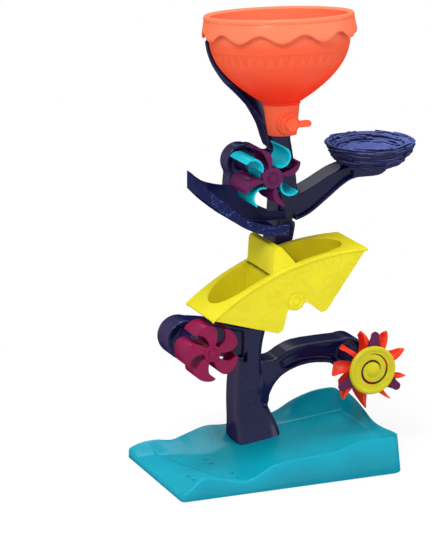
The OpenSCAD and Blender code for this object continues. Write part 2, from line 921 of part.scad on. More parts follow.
// Bent blade between two radii
module blade2d(r0, r1, b, t) {
    r = bulge_r(r0, r1, b);
    intersection() {
        translate([(r0 + r1) / 2, r - b])
            difference() {
                circle(r);
                circle(r - t);
            }
        translate([r0, -2 * b])
            square([r1 - r0, 2 * b]);
    }
}

// Crescent that closes the front of a blade
module crescent2d(r0, r1, b, t) {
    r = bulge_r(r0, r1, b);
    inner = bulge_r(r0, r1, b - t);
    difference() {
        intersection() {
            translate([(r0 + r1) / 2, r - b])
                circle(r);
            translate([r0, -2 * b])
                square([r1 - r0, 2 * b]);
        }
        translate([(r0 + r1) / 2, inner - b + t])
            circle(inner);
    }
}

// Repeats a wheel's outline round its axle
module spokes(axis, count, first) {
    translate(axis)
        for (i = [0 : count - 1])
            rotate(first + 360 / count * i)
                children();
}

module hub_bore(axis, front, depth) {
    rod(axis, pin_r + run_gap, front - 1, big);
    rod(axis, cap_r, front - 1, front + depth);
}

module wheel_pin(axis, head_y, boss_y) {
    rod(axis, pin_r, head_y, boss_y + pin_seat - 1);
    rod(axis, pin_head_r, head_y, head_y + pin_head_t);
}

module hub_cap(axis, front) {
    difference() {
        rod(axis, cap_r - run_gap, front - 1.5, front + cap_depth);
        difference() {
            rod(axis, cap_r - 1.6, front - 2, front - 0.7);
            rod(axis, cap_r - 3.4, front - 3, front);
        }
    }
}

upper_hub_r = 14.5;
front_hollow = 1.5;
blade_first = 26;
bucket_first = 61;
bucket_r0 = 11;
bucket_bulge = 13;
blade_bulge = 11;
head_depth = cap_depth + side_gap + pin_head_t + side_gap;
bucket_front = upper_wheel_front + 12;
bucket_lead = 8;
bucket_root = 8;
blade_flare = 8;

module upper_wheel_blades() {
    y0 = upper_wheel_front;
    color(plum)
        difference() {
            union() {
                rod(upper_axis, upper_hub_r, y0, bucket_front - seat_gap);
                along_y(y0 + 2, upper_wheel_rear - 2)
                    spokes(upper_axis, 4, blade_first)
                        blade2d(upper_hub_r - 3, upper_wheel_r, blade_bulge, blade_t);
                along_y(y0 + 1, y0 + 5)
                    spokes(upper_axis, 4, blade_first)
                        crescent2d(upper_hub_r - 3, upper_wheel_r, blade_bulge, blade_flare);
            }
            rod(upper_axis, bucket_r0 + seat_gap, bucket_front - seat_gap - eps, big);
            hub_bore(upper_axis, y0, head_depth);
        }
}

module upper_wheel_buckets() {
    color(aqua)
        difference() {
            union() {
                rod(upper_axis, bucket_r0, bucket_front, upper_wheel_rear);
                along_y(bucket_front - bucket_lead, upper_wheel_rear - 1)
                    spokes(upper_axis, 4, bucket_first)
                        blade2d(upper_hub_r + seat_gap, upper_wheel_r, bucket_bulge, blade_t);
                along_y(bucket_front, upper_wheel_rear - 1)
                    spokes(upper_axis, 4, bucket_first)
                        translate([bucket_r0 - 3, -blade_t / 2])
                            square([bucket_root, blade_t]);
            }
            rod(upper_axis, pin_r + run_gap, -big, big);
        }
}

module upper_wheel_axle() {
    color(steel)
        wheel_pin(upper_axis, upper_wheel_front + cap_depth + side_gap, upper_wheel_rear + side_gap);
}

module upper_wheel_cap() {
    color(plum)
        hub_cap(upper_axis, upper_wheel_front);
}

small_hub_r = 11.5;
small_blades = 5;
small_first = -11;
small_plate_t = 5;
// Back and front edges of a blade: angle behind its tip and share of the wheel's radius
comma_back = [[61, 0.25], [60, 0.5], [54, 0.76], [44, 0.92], [28, 0.967], [11, 0.96], [0, 0.91]];
comma_front = [[24, 0.25], [23, 0.45], [18, 0.65], [9, 0.8], [0, 0.91]];

function comma_point(p) = small_wheel_r * p[1] * [cos(p[0]), -sin(p[0])];
function comma_line(edge) = [for (p = edge) comma_point(p)];

module comma_sheet2d() {
    ribbon([for (p = comma_line(comma_back)) concat(p, blade_t / 2)]);
}

module comma2d() {
    between(comma_line(comma_back), comma_line(comma_front));
    comma_sheet2d();
}

module small_wheel() {
    color(magenta)
        difference() {
            union() {
                rod(small_axis, small_hub_r, wheel_front, wheel_rear);
                along_y(wheel_front + 3, wheel_rear - 4)
                    spokes(small_axis, small_blades, small_first)
                        comma_sheet2d();
                along_y(wheel_front + 2, wheel_front + 2 + small_plate_t)
                    spokes(small_axis, small_blades, small_first)
                        comma2d();
            }
            hub_bore(small_axis, wheel_front, head_depth);
        }
}

module small_wheel_axle() {
    color(steel)
        wheel_pin(small_axis, wheel_front + cap_depth + side_gap, wheel_rear + side_gap);
}

module small_wheel_cap() {
    color(magenta)
        hub_cap(small_axis, wheel_front);
}

// Sun wheel: disc, petals and paddles one behind the other
sun_disc_t = 6;
petal_t = 4;
petal_y = wheel_front + sun_disc_t + seat_gap;
paddle_y = petal_y + petal_t + seat_gap;
sun_hub_r = 13;
sun_stem_l = sun_disc_t + petal_t + 6;
sun_paddles_n = 9;
petal_first = 84;
paddle_first = 24;
paddle_bulge = 8;
paddle_front_t = 6;
paddle_rear_r = 40;
paddle_web_r = 29;
paddle_web_t = 2;
petal_hub_r = 17;
spiral_r = [24, 11];
spiral_turns = 1.3;
spiral_w = 3.6;
spiral_steps = 48;

function spiral_point(i, side) =
    let (t = i / spiral_steps, a = 100 - 360 * spiral_turns * t,
         r = mix(spiral_r[0], spiral_r[1], t) + side * spiral_w / 2 * min(1, 4 * min(t, 1 - t) + 0.15))
    [r * cos(a), r * sin(a)];

module sun_disc() {
    color(lime)
        difference() {
            union() {
                translate([sun_axis[0], wheel_front + sun_disc_t, sun_axis[1]])
                    rotate([90, 0, 0])
                        rotate_extrude()
                            polygon([[0, 0], [sun_disc_r, 0], [sun_disc_r, 3], [sun_disc_r - 2, 5],
                                     [sun_disc_r - 5, 5], [sun_disc_r - 7, 3.5], [10, 4], [8, 5.5],
                                     [4, sun_disc_t + 1.5], [0, sun_disc_t + 2]]);
                rod(sun_axis, cap_r - run_gap, wheel_front + sun_disc_t - eps, wheel_front + sun_stem_l);
            }
            along_y(wheel_front - 5, wheel_front + sun_disc_t + 1)
                translate(sun_axis)
                    polygon(concat([for (i = [0 : spiral_steps]) spiral_point(i, 1)],
                                   [for (i = [spiral_steps : -1 : 0]) spiral_point(i, -1)]));
        }
}

module sun_petals() {
    color(plum)
        along_y(petal_y, petal_y + petal_t)
            difference() {
                union() {
                    translate(sun_axis)
                        circle(petal_hub_r);
                    spokes(sun_axis, 3, petal_first) {
                        polygon([[15, -14], [sun_r - 9, -5.5], [sun_r - 9, 5.5], [15, 14]]);
                        translate([sun_r - 9, 0])
                            circle(6);
                    }
                }
                translate(sun_axis)
                    circle(cap_r + run_gap);
            }
}

module sun_paddles() {
    color(flame)
        difference() {
            union() {
                rod(sun_axis, sun_hub_r, paddle_y, wheel_rear);
                rod(sun_axis, paddle_web_r, paddle_y, paddle_y + paddle_web_t);
                intersection() {
                    along_y(paddle_y, wheel_rear - 1)
                        spokes(sun_axis, sun_paddles_n, paddle_first)
                            blade2d(sun_hub_r - 3, sun_r, paddle_bulge, blade_t);
                    translate([sun_axis[0], wheel_rear, sun_axis[1]])
                        rotate([90, 0, 0])
                            cylinder(r1 = paddle_rear_r, r2 = sun_r + 3, h = wheel_rear - paddle_y);
                }
                along_y(paddle_y, paddle_y + paddle_front_t)
                    spokes(sun_axis, sun_paddles_n, paddle_first)
                        crescent2d(sun_hub_r - 3, sun_r, paddle_bulge, paddle_bulge - front_hollow);
            }
            rod(sun_axis, pin_r + run_gap, -big, big);
            rod(sun_axis, cap_r + run_gap, -big, wheel_front + sun_stem_l + side_gap + pin_head_t + side_gap);
        }
}

module sun_axle() {
    color(steel)
        wheel_pin(sun_axis, wheel_front + sun_stem_l + side_gap, wheel_rear + side_gap);
}

// Tipping tray, drawn level about its pivot and then laid on its left stop

tip_mid_y = (tip_front + tip_back) / 2;
lobe_in = [15, -8];
lobe_low_in = [30, -31];
lobe_low_out = [38, -32];
tip_end_h = tip_rim_h - tip_fall;
tab_r = 13;
tip_bead = 1.5;
tip_bead_h = 4.5;
well_end = 102;
well_round_x = 45;
well_half_w = 38;
divider_half = 18.5;
divider_top = 6;
divider_round = 3;
divider_step = 0.15;
divider_front = tip_front + tip_wall - 0.6;
divider_back = tip_back - tip_wall + 0.6;
well_low = -18;
well_out = tip_half_l - 4;
pivot_tube_r = tip_pin_r + 4;
arch_steps = 16;

function arch(u) = tip_rim_h - tip_fall * (u / tip_half_l) * (u / tip_half_l);
function arch_line(drop, reach) =
    [for (i = [-arch_steps : arch_steps]) [reach * i / arch_steps, arch(reach * i / arch_steps) - drop]];

module in_tip() {
    translate([tip_axis[0], 0, tip_axis[1]])
        rotate([0, -tip_tilt, 0])
            children();
}

// Band under the arched rim
module arch_band2d(t) {
    under = arch_line(t, tip_half_l);
    polygon(concat(arch_line(0, tip_half_l), [for (i = [2 * arch_steps : -1 : 0]) under[i]]));
}

module tip_skirt2d() {
    lobe = [lobe_low_out, lobe_low_in, lobe_in];
    polygon(concat(arch_line(0, tip_half_l), lobe, [for (i = [2 : -1 : 0]) [-lobe[i][0], lobe[i][1]]]));
    circle(tab_r);
}

// Plan of one well, rounded at the outer end
module well_plan(grow) {
    n = 12;
    polygon(concat([[-divider_half + 6, -well_half_w - grow]],
                   [for (i = [0 : n])
                    let (a = -90 + 180 * i / n)
                    [-(well_round_x + (well_end - well_round_x + grow) * pow(cos(a), 0.8)),
                     (well_half_w + grow) * sin(a)]],
                   [[-divider_half + 6, well_half_w + grow]]));
}

// Half width of the divider at a height above the pivot
function divider_at(h) =
    let (top = tip_peak_h - divider_round)
    mix(divider_top, divider_half, (top - h) / (top - tip_rim_h));

module divider2d(inset, low) {
    half = divider_top - inset;
    top = tip_peak_h - inset;
    polygon([[inset - divider_at(low), low], [-half, top - divider_round], [-half / 2, top], [half / 2, top],
             [half, top - divider_round], [divider_at(low) - inset, low]]);
}

module well_side2d(grow) {
    low = well_low - grow;
    polygon([[-well_out - grow, tip_end_h + 8], [-divider_at(well_low) - 2, low],
             [grow - divider_at(well_low), low], [grow - divider_half, tip_rim_h],
             [grow - divider_half, 2 * tip_rim_h], [-well_out - grow, 2 * tip_rim_h]]);
}

module well(grow) {
    intersection() {
        translate([0, tip_mid_y, lobe_low_out[1] - 10])
            linear_extrude(big)
                well_plan(grow);
        along_y(-big, big)
            well_side2d(grow);
    }
}

module both_ends() {
    children();
    mirror([1, 0, 0])
        children();
}

module tip_body() {
    for (y = [tip_front, tip_back - tip_wall])
        along_y(y, y + tip_wall)
            tip_skirt2d();
    along_y(tip_front - tip_bead, tip_front + tip_wall)
        arch_band2d(tip_bead_h);
    along_y(tip_back - tip_wall, tip_back + tip_bead)
        arch_band2d(tip_bead_h);
    difference() {
        union() {
            difference() {
                along_y(tip_front, tip_back)
                    arch_band2d(tip_wall);
                both_ends()
                    well(0);
            }
            along_y(divider_front, divider_back)
                divider2d(divider_step, tip_rim_h - 2 * tip_wall);
        }
        along_y(divider_front + tip_wall, divider_back - tip_wall)
            divider2d(tip_wall + divider_step, 0);
    }
    intersection() {
        both_ends()
            difference() {
                well(tip_wall);
                well(0);
            }
        along_y(tip_front, tip_back)
            polygon(concat(arch_line(eps, tip_half_l), [[tip_half_l, -big], [-tip_half_l, -big]]));
    }
    rod([0, 0], pivot_tube_r, tip_front, tip_back);
    along_y(divider_front + 1, divider_back - 1)
        translate([-tip_wall / 2, 0])
            square([tip_wall, tip_peak_h - 2]);
}

tip_head_y = tip_front + cap_depth + side_gap;
tip_cap_r = tip_pin_r + 3;

module tipping_tray() {
    color(lime)
        in_tip()
            difference() {
                tip_body();
                rod([0, 0], tip_pin_r + run_gap, -big, big);
                rod([0, 0], tip_cap_r, -big, tip_head_y + pin_head_t + side_gap);
            }
}

module tipping_axle() {
    color(steel) {
        rod(tip_axis, tip_pin_r, tip_head_y, trunk_front + pin_seat - 1);
        rod(tip_axis, tip_pin_r + 2, tip_head_y, tip_head_y + pin_head_t);
    }
}

module tipping_cap() {
    color(lime)
        in_tip()
            difference() {
                union() {
                    rod([0, 0], tip_cap_r - run_gap, tip_front - 1, tip_front + cap_depth);
                    rod([0, 0], tab_r - 2, tip_front - 2, tip_front - seat_gap / 4);
                }
                difference() {
                    rod([0, 0], tip_cap_r - 1, tip_front - 3, tip_front - 1.2);
                    rod([0, 0], tip_cap_r - 3, tip_front - 4, tip_front);
                }
            }
}

base_tray();
foot_screws();
trunk_lower();
trunk_upper();
joint_screws();
left_branch();
right_branch();
wheel_branch();
nest_branch();
nest();
leaf_slide();
hopper_bowl();
hopper_spout();
tap_barrel();
tap_clip();
upper_wheel_blades();
upper_wheel_buckets();
upper_wheel_axle();
upper_wheel_cap();
small_wheel();
small_wheel_axle();
small_wheel_cap();
sun_disc();
sun_petals();
sun_paddles();
sun_axle();
tipping_tray();
tipping_axle();
tipping_cap();
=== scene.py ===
"""Looks of a sand and water tower: a moulded tree in a tray, with a hopper, wheels, a slide and a nest."""

import json
import math
import random

import bmesh
import bpy
from mathutils import Matrix, Vector, noise
from mathutils.bvhtree import BVHTree


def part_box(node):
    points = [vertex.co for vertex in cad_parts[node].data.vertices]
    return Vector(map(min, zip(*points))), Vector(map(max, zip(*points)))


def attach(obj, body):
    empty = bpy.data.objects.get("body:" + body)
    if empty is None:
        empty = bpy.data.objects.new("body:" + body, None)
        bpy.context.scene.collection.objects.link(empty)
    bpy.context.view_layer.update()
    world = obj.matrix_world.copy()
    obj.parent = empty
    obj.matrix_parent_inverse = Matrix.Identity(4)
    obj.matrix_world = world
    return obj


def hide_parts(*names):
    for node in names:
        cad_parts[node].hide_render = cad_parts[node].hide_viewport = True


bl_info = {
    "name": "Sand and Water Tower",
    "version": (1, 0, 0),
    "blender": (4, 5, 0),
    "location": "View3D > Sidebar > Tower",
    "description": "Builds the moulded pieces of a sand and water tower round its frame",
    "category": "Add Mesh",
}

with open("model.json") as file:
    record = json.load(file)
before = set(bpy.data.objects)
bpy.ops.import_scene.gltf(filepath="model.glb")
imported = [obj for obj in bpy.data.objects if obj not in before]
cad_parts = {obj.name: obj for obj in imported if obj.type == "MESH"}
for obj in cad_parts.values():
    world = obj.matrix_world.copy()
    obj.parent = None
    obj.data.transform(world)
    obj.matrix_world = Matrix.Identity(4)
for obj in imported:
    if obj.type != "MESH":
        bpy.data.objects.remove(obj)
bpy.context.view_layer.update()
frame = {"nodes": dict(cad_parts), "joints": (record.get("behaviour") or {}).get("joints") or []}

MM = 0.001
TURN = 2 * math.pi
# Edges that bend more than this are rounded
SHARP = math.radians(30.0)
# Points nearer than this are one, in metres
MERGE = 1e-6


# Places taken from the frame

def joint_place(name):
    """Point and axis of a joint of the frame."""
    joint = next(j for j in frame["joints"] if j["name"] == name)
    return Vector(joint["pos_m"]), Vector(joint["axis"])


tap_at, tap_axis = joint_place("tap_turn")
tip_at, _ = joint_place("tray_tip")
hopper_up = Vector((0, -tap_axis.z, tap_axis.y))
tray_low, tray_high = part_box("base_tray")
nest_low, nest_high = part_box("nest")


# Sizes and colours that a user would change

def length(name, description, default):
    return bpy.props.FloatProperty(name=name, description=description, default=default, min=0.0,
                                   unit="LENGTH", subtype="DISTANCE", precision=4)


def count(name, description, default):
    return bpy.props.IntProperty(name=name, description=description, default=default, min=1)


def colour(name, description, red, green, blue):
    return bpy.props.FloatVectorProperty(name=name, description=description, size=3, min=0.0, max=1.0,
                                         subtype="COLOR_GAMMA",
                                         default=(red / 255, green / 255, blue / 255))


class TrayLook(bpy.types.PropertyGroup):
    """Sizes of the base tray."""
    lip_h: length("Lip height", "Height of the floor at the low lip", 8 * MM)
    floor_h: length("Floor height", "Height of the floor at the high end", 40 * MM)
    ledge_w: length("End width", "Width of the wall and its slope at the high end", 17 * MM)
    pool_h: length("Pool depth", "How far the pool lies below the floor", 3.5 * MM)
    skin: length("Skin", "Thickness of the moulded skin", 3 * MM)
    draft: length("Draft", "How far the outer walls lean in over 72 mm", 5 * MM)
    edge_r: length("Edge radius", "Rounding of the outer edge", 4.5 * MM)
    blend_r: length("Blend radius", "Rounding between floor and walls", 4 * MM)
    drain_r: length("Drain radius", "Radius of the drain holes", 2.5 * MM)
    mesh_step: length("Mesh step", "Spacing of the tray's mesh", 1.6 * MM)


class TreeLook(bpy.types.PropertyGroup):
    """Sizes of the trunk and branches."""
    voxel: length("Voxel", "Fineness of the skin", 1.4 * MM)
    smoothing: count("Smoothing", "Passes that round the edges", 9)


class HopperLook(bpy.types.PropertyGroup):
    """Sizes of the hopper."""
    height: length("Height", "From the spout's foot to the rim", 164 * MM)
    tap_h: length("Tap height", "From the spout's foot to the tap", 17 * MM)
    bowl_r: length("Bowl radius", "Outer radius under the rim", 95 * MM)
    neck_r: length("Neck radius", "Outer radius of the neck", 25.7 * MM)
    bowl_h: length("Bowl depth", "From the rim to the neck", 119 * MM)
    wall: length("Wall", "Wall of the bowl", 3 * MM)
    drip_r: length("Drip radius", "Radius at the bottom of the drips", 104 * MM)
    drip_h: length("Drip length", "Length of the drips below the rim", 32 * MM)
    drip_gap: length("Drip gap", "Depth of the gaps between the drips", 11 * MM)
    drips: count("Drips", "Number of drips round the rim", 11)


class NestLook(bpy.types.PropertyGroup):
    """Sizes of the nest."""
    twig_r: length("Twig radius", "Half thickness of a twig", 1.5 * MM)
    twigs: count("Twigs", "Twigs in the side", 120)
    flare: length("Flare", "How far the woven rim spreads past the plain bowl", 4 * MM)


class TowerColours(bpy.types.PropertyGroup):
    """Colours of the mouldings."""
    teal: colour("Tray teal", "Base tray", 10, 152, 176)
    navy: colour("Bark navy", "Trunk, branches and slide", 16, 23, 72)
    # The violet is a painted reflection, laid on the bark's flanks that face left and right.
    violet: colour("Bark violet", "Tint on the flanks of the bark", 54, 36, 78)
    peach: colour("Hopper peach", "Rim and drips of the hopper", 247, 125, 89)
    coral: colour("Hopper coral", "Upper half of the bowl and the spout", 244, 96, 60)
    ember: colour("Hopper ember", "Lower half of the bowl", 240, 50, 30)
    plum: colour("Wheel plum", "Blades of the upper wheel and petals of the sun", 90, 26, 74)
    aqua: colour("Wheel aqua", "Buckets of the upper wheel", 20, 188, 208)
    magenta: colour("Wheel magenta", "Small wheel", 132, 20, 68)
    lime: colour("Tray lime", "Tipping tray and the sun's disc", 226, 214, 36)
    flame: colour("Sun flame", "Paddles of the sun", 242, 60, 34)
    # On the nest, twig is painted light on the upward faces and shade is painted shade on the sides and in the
    # hollows.
    twig: colour("Nest indigo", "Upper side of the twigs of the nest", 90, 107, 172)
    shade: colour("Nest shade", "Outer side of the nest", 46, 44, 84)
    steel: colour("Pin steel", "Pins and screws", 178, 180, 184)


def looks():
    """The sizes and colours that are set in the scene."""
    return bpy.context.scene.tower


class TowerLook(bpy.types.PropertyGroup):
    """Everything that the panel shows."""
    tray: bpy.props.PointerProperty(name="Tray", description="Base tray", type=TrayLook)
    tree: bpy.props.PointerProperty(name="Tree", description="Trunk and branches", type=TreeLook)
    hopper: bpy.props.PointerProperty(name="Hopper", description="Hopper", type=HopperLook)
    nest: bpy.props.PointerProperty(name="Nest", description="Nest", type=NestLook)
    colours: bpy.props.PointerProperty(name="Colours", description="Colours", type=TowerColours)


# Shader maths

class Wire:
    """A value in a material: arithmetic on it adds Math nodes."""

    def __init__(self, finish, socket):
        self.finish = finish
        self.socket = socket

    def math(self, operation, *values):
        return self.finish.node("ShaderNodeMath", {"operation": operation}, dict(enumerate(values)))

    def __add__(self, other):
        return self.math("ADD", self, other)

    def __sub__(self, other):
        return self.math("SUBTRACT", self, other)

    def __rsub__(self, other):
        return self.math("SUBTRACT", other, self)

    def __mul__(self, other):
        return self.math("MULTIPLY", self, other)

    def __truediv__(self, other):
        return self.math("DIVIDE", self, other)

    def __abs__(self):
        return self.math("ABSOLUTE", self)

    __radd__ = __add__
    __rmul__ = __mul__

    def sine(self):
        return self.math("SINE", self)

    def fraction(self):
        return self.math("FRACT", self)

    def greatest(self, other):
        return self.math("MAXIMUM", self, other)

    def between(self, low, high):
        """0 below low, 1 above high and a soft step between them."""
        return self.finish.node("ShaderNodeMapRange", {"interpolation_type": "SMOOTHSTEP"},
                                {"Value": self, "From Min": low, "From Max": high})


class Finish:
    """A material under construction."""

    def __init__(self, name):
        self.material = bpy.data.materials.new(name)
        self.material.use_nodes = True
        self.tree = self.material.node_tree
        self.tree.nodes.clear()
        self.shader = self.make("ShaderNodeBsdfPrincipled")
        output = self.make("ShaderNodeOutputMaterial")
        self.tree.links.new(self.shader.outputs[0], output.inputs[0])
        self.spot = self.node("ShaderNodeTexCoord", out="Object")

    def make(self, kind, settings=None, sockets=None):
        node = self.tree.nodes.new(kind)
        for key, value in (settings or {}).items():
            setattr(node, key, value)
        for key, value in (sockets or {}).items():
            self.put(node.inputs[key], value)
        return node

    def node(self, kind, settings=None, sockets=None, out=0):
        return Wire(self, self.make(kind, settings, sockets).outputs[out])

    def put(self, socket, value):
        if isinstance(value, Wire):
            self.tree.links.new(value.socket, socket)
        else:
            socket.default_value = value

    def set(self, **values):
        """Sets the shader's own sockets, with the spaces of their names as underscores."""
        for key, value in values.items():
            self.put(self.shader.inputs[key.replace("_", " ")], value)

    def noise(self, scale, detail=2.0, stretch=(1, 1, 1), roughness=0.5):
        spot = self.node("ShaderNodeMapping", {}, {"Vector": self.spot, "Scale": stretch})
        return self.node("ShaderNodeTexNoise", {}, {"Vector": spot, "Scale": scale, "Detail": detail,
                                                    "Roughness": roughness})

    def blend(self, factor, low, high):
        return self.node("ShaderNodeMix", {"data_type": "RGBA"}, {0: factor, 6: low, 7: high}, out=2)

    def axes(self):
        parts = self.make("ShaderNodeSeparateXYZ", {}, {0: self.spot})
        return [Wire(self, parts.outputs[i]) for i in range(3)]

    def facing(self):
        parts = self.make("ShaderNodeSeparateXYZ", {}, {0: self.node("ShaderNodeNewGeometry", out="Normal")})
        return [Wire(self, parts.outputs[i]) for i in range(3)]

    def bump(self, height, strength, distance):
        normal = self.node("ShaderNodeBump", {}, {"Height": height, "Strength": strength,
                                                  "Distance": distance})
        self.set(Normal=normal)

    def gloss(self, weight, rough):
        """A clear gloss that fades towards the edges, so that pale surroundings don't veil the colour."""
        facing = self.node("ShaderNodeLayerWeight", {}, {"Blend": 0.5}, out="Facing")
        self.set(Specular_IOR_Level=0.0, Coat_Weight=weight * (1 - facing.between(0.3, 0.8)),
                 Coat_Roughness=rough)


def linear(gamma, lift=1.0):
    """A colour for a node from the panel's, made lighter or darker."""
    def channel(value):
        value = min(1.0, value * lift)
        return value / 12.92 if value <= 0.04045 else ((value + 0.055) / 1.055) ** 2.4
    return (*(channel(v) for v in gamma), 1.0)


def moulded(name, gamma, rough=0.36, mottle=0.06, grain=0.35, grain_scale=900.0):
    """Moulded plastic: faint clouds in the colour and gloss, and a fine grain."""
    finish = Finish(name)
    cloud = finish.noise(22.0, 3.0)
    pores = finish.noise(grain_scale, 2.0)
    base = finish.blend(cloud, linear(gamma, 1 - mottle), linear(gamma, 1 + mottle))
    finish.set(Base_Color=base, Roughness=rough + (cloud - 0.5) * 0.18)
    finish.gloss(0.3, 0.2)
    finish.bump(pores, grain, 0.12 * MM)
    return finish


def bark_finish():
    """Dark glossy bark: navy with a painted violet reflection on the flanks and long faint furrows."""
    colours = looks().colours
    finish = Finish("bark_navy")
    cloud = finish.noise(16.0, 3.0)
    furrow = finish.noise(150.0, 4.0, stretch=(1, 1, 0.1))
    speck = finish.noise(700.0, 2.0).between(0.66, 0.72)
    # Painted reflection: flanks that face left or right are tinted violet in place of a warm reflection.
    painted_flank_reflection = abs(finish.facing()[0]).between(0.35, 1.0)
    base = finish.blend(painted_flank_reflection * 0.6 + cloud * 0.2, linear(colours.navy), linear(colours.violet))
    worn = finish.blend(speck * 0.35, base, linear(colours.twig))
    finish.set(Base_Color=worn, Roughness=0.3 + cloud * 0.16)
    finish.gloss(0.5, 0.12)
    finish.bump(furrow, 0.2, 0.5 * MM)
    return finish


def slide_finish():
    """Bark of the slide: pale strokes on its outer side and a smooth run inside."""
    colours = looks().colours
    finish = Finish("slide_bark")
    cloud = finish.noise(30.0, 3.0)
    stroke = 1 - abs(finish.noise(46.0, 2.0, stretch=(0.4, 1, 1.5)) - 0.5).between(0.0, 0.008)
    nick = 1 - abs(finish.noise(110.0, 1.0, stretch=(1.2, 1, 0.4)) - 0.5).between(0.0, 0.012)
    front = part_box("leaf_slide")[0].y
    outer = (0 - finish.facing()[1]).between(0.45, 0.7)
    outer = outer * (front + 20 * MM - finish.axes()[1]).between(0.0, 4 * MM)
    mark = stroke.greatest(nick * 0.6) * outer
    base = finish.blend(cloud, linear(colours.navy, 0.8), linear(colours.navy, 1.15))
    base = finish.blend(mark * 0.45, base, linear(colours.twig, 1.3))
    finish.set(Base_Color=base, Roughness=0.34 + mark * 0.2)
    finish.gloss(0.25, 0.2)
    finish.bump(0 - mark, 0.5, 0.5 * MM)
    return finish


def twig_finish():
    """Matt twigs with grain along them, painted light on their upper faces, and painted shade on their sides
    and in noise-placed hollows.
    """
    colours = looks().colours
    finish = Finish("nest_indigo")
    grain = finish.noise(260.0, 4.0, stretch=(1, 1, 2.5), roughness=0.65)
    cloud = finish.noise(40.0, 2.0)
    # Painted light and shade: upward faces get the pale twig colour, the sides the dark shade colour.
    painted_top_light = finish.facing()[2].between(-0.1, 0.75)
    tone = finish.blend(painted_top_light, linear(colours.shade), linear(colours.twig))
    # Painted shade: patches placed by noise are darkened towards the shade colour in place of shade between the
    # twigs.
    painted_hollow_shade = (grain * 0.6 + cloud * 0.4).between(0.35, 0.65)
    base = finish.blend(painted_hollow_shade * 0.5, tone, linear(colours.shade, 0.7))
    finish.set(Base_Color=base, Roughness=0.5 + grain * 0.2)
    finish.gloss(0.2, 0.3)
    finish.bump(grain, 0.5, 0.5 * MM)
    return finish


def tray_finish():
    """Glossy teal with the faint combed water lines of the floor."""
    colours = looks().colours
    finish = Finish("tray_teal")
    cloud = finish.noise(14.0, 3.0)
    warp = finish.noise(30.0, 2.0)
    x, y, _ = finish.axes()
    ripple = ((x * 1.4 + y * 0.5 + warp * 0.055) * 720.0).sine()
    patch = finish.noise(11.0, 2.0).between(0.46, 0.6)
    on_floor = (0.074 - abs(y)).between(0.0, 0.012) * (0.05 - x).between(0.0, 0.06)
    base = finish.blend(cloud, linear(colours.teal, 0.95), linear(colours.teal, 1.06))
    finish.set(Base_Color=base, Roughness=0.3 + cloud * 0.12)
    finish.gloss(0.35, 0.24)
    finish.bump(ripple * patch * on_floor, 0.5, 0.7 * MM)
    return finish


def hopper_finish():
    """Satin coral that deepens down the bowl, with a pressed band of points under the rim."""
    colours = looks().colours
    finish = Finish("hopper_coral")
    cloud = finish.noise(20.0, 3.0)
    pores = finish.noise(800.0, 2.0)
    place = finish.make("ShaderNodeSeparateXYZ", {}, {0: finish.node("ShaderNodeUVMap", {"uv_map": "round"})})
    around = Wire(finish, place.outputs[0])
    depth = Wire(finish, place.outputs[1])
    base = finish.blend(depth.between(0.2, 0.36), linear(colours.peach), linear(colours.coral))
    base = finish.blend(depth.between(0.4, 0.95) * 0.9 + cloud * 0.1, base, linear(colours.ember))
    tooth = abs((around * 40.0).fraction() - 0.5) * 2.0
    point = (tooth - (depth - 0.4) / 0.13).between(-0.06, 0.06) * depth.between(0.395, 0.405)
    dash = (around * 150.0 + cloud * 3.0).fraction().between(0.3, 0.5)
    band = 1 - abs(depth - 0.6).between(0.03, 0.07)
    stipple = finish.noise(420.0, 2.0) * depth.between(0.5, 0.62)
    pressed = point * 0.8 + dash * band * 0.35
    base = finish.blend(pressed * 0.16, base, linear(colours.ember, 0.85))
    finish.set(Base_Color=base, Roughness=0.4 + cloud * 0.1)
    finish.gloss(0.3, 0.25)
    finish.bump(0 - pressed + stipple * 0.35 + pores * 0.15, 0.8, 0.9 * MM)
    return finish


def lime_finish(name="tip_lime", contours=0.0, tone=1.0):
    """Satin yellow green with a soft stipple and, on the skirts, faint contour lines."""
    colours = looks().colours
    finish = Finish(name)
    cloud = finish.noise(18.0, 3.0)
    stipple = finish.noise(520.0, 3.0)
    level = (finish.noise(17.0, 1.0, stretch=(0.7, 0.2, 1.2)) * 13.0).fraction()
    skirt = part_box("tipping_tray")[0].y + 5 * MM - finish.axes()[1]
    line = (1 - abs(level - 0.5).between(0.05, 0.16)) * skirt.between(0.0, 2 * MM)
    base = finish.blend(cloud, linear(colours.lime, tone * 0.96), linear(colours.lime, tone * 1.04))
    base = finish.blend(line * contours * 0.12, base, linear(colours.lime, 0.8))
    finish.set(Base_Color=base, Roughness=0.4 + cloud * 0.12)
    finish.gloss(0.35, 0.22)
    finish.bump(stipple * 0.4 - line * contours * 0.5, 0.4, 0.4 * MM)
    return finish


def steel_finish():
    """Turned steel of the pins and screws."""
    finish = Finish("pin_steel")
    turned = finish.noise(60.0, 2.0, stretch=(1, 30, 1))
    base = finish.blend(turned, linear(looks().colours.steel, 0.85), linear(looks().colours.steel))
    finish.set(Base_Color=base, Metallic=1.0, Roughness=0.25 + turned * 0.2)
    return finish


# Modelling

def curve_through(points, steps):
    """Smooth curve through given points."""
    points = [Vector(p) for p in points]
    result = []
    for i in range(len(points) - 1):
        a, b = points[max(i - 1, 0)], points[i]
        c, d = points[i + 1], points[min(i + 2, len(points) - 1)]
        for k in range(steps):
            t = k / steps
            result.append(0.5 * (2 * b + (c - a) * t + (2 * a - 5 * b + 4 * c - d) * t * t
                                 + (3 * b - a - 3 * c + d) * t ** 3))
    return result + [points[-1]]


def height_on(line, x):
    """Height at x of a line of [x, height] points that runs to higher x."""
    if x <= line[0][0]:
        return line[0][1]
    for a, b in zip(line, line[1:]):
        if x <= b[0]:
            return a[1] + (b[1] - a[1]) * (x - a[0]) / (b[0] - a[0])
    return line[-1][1]


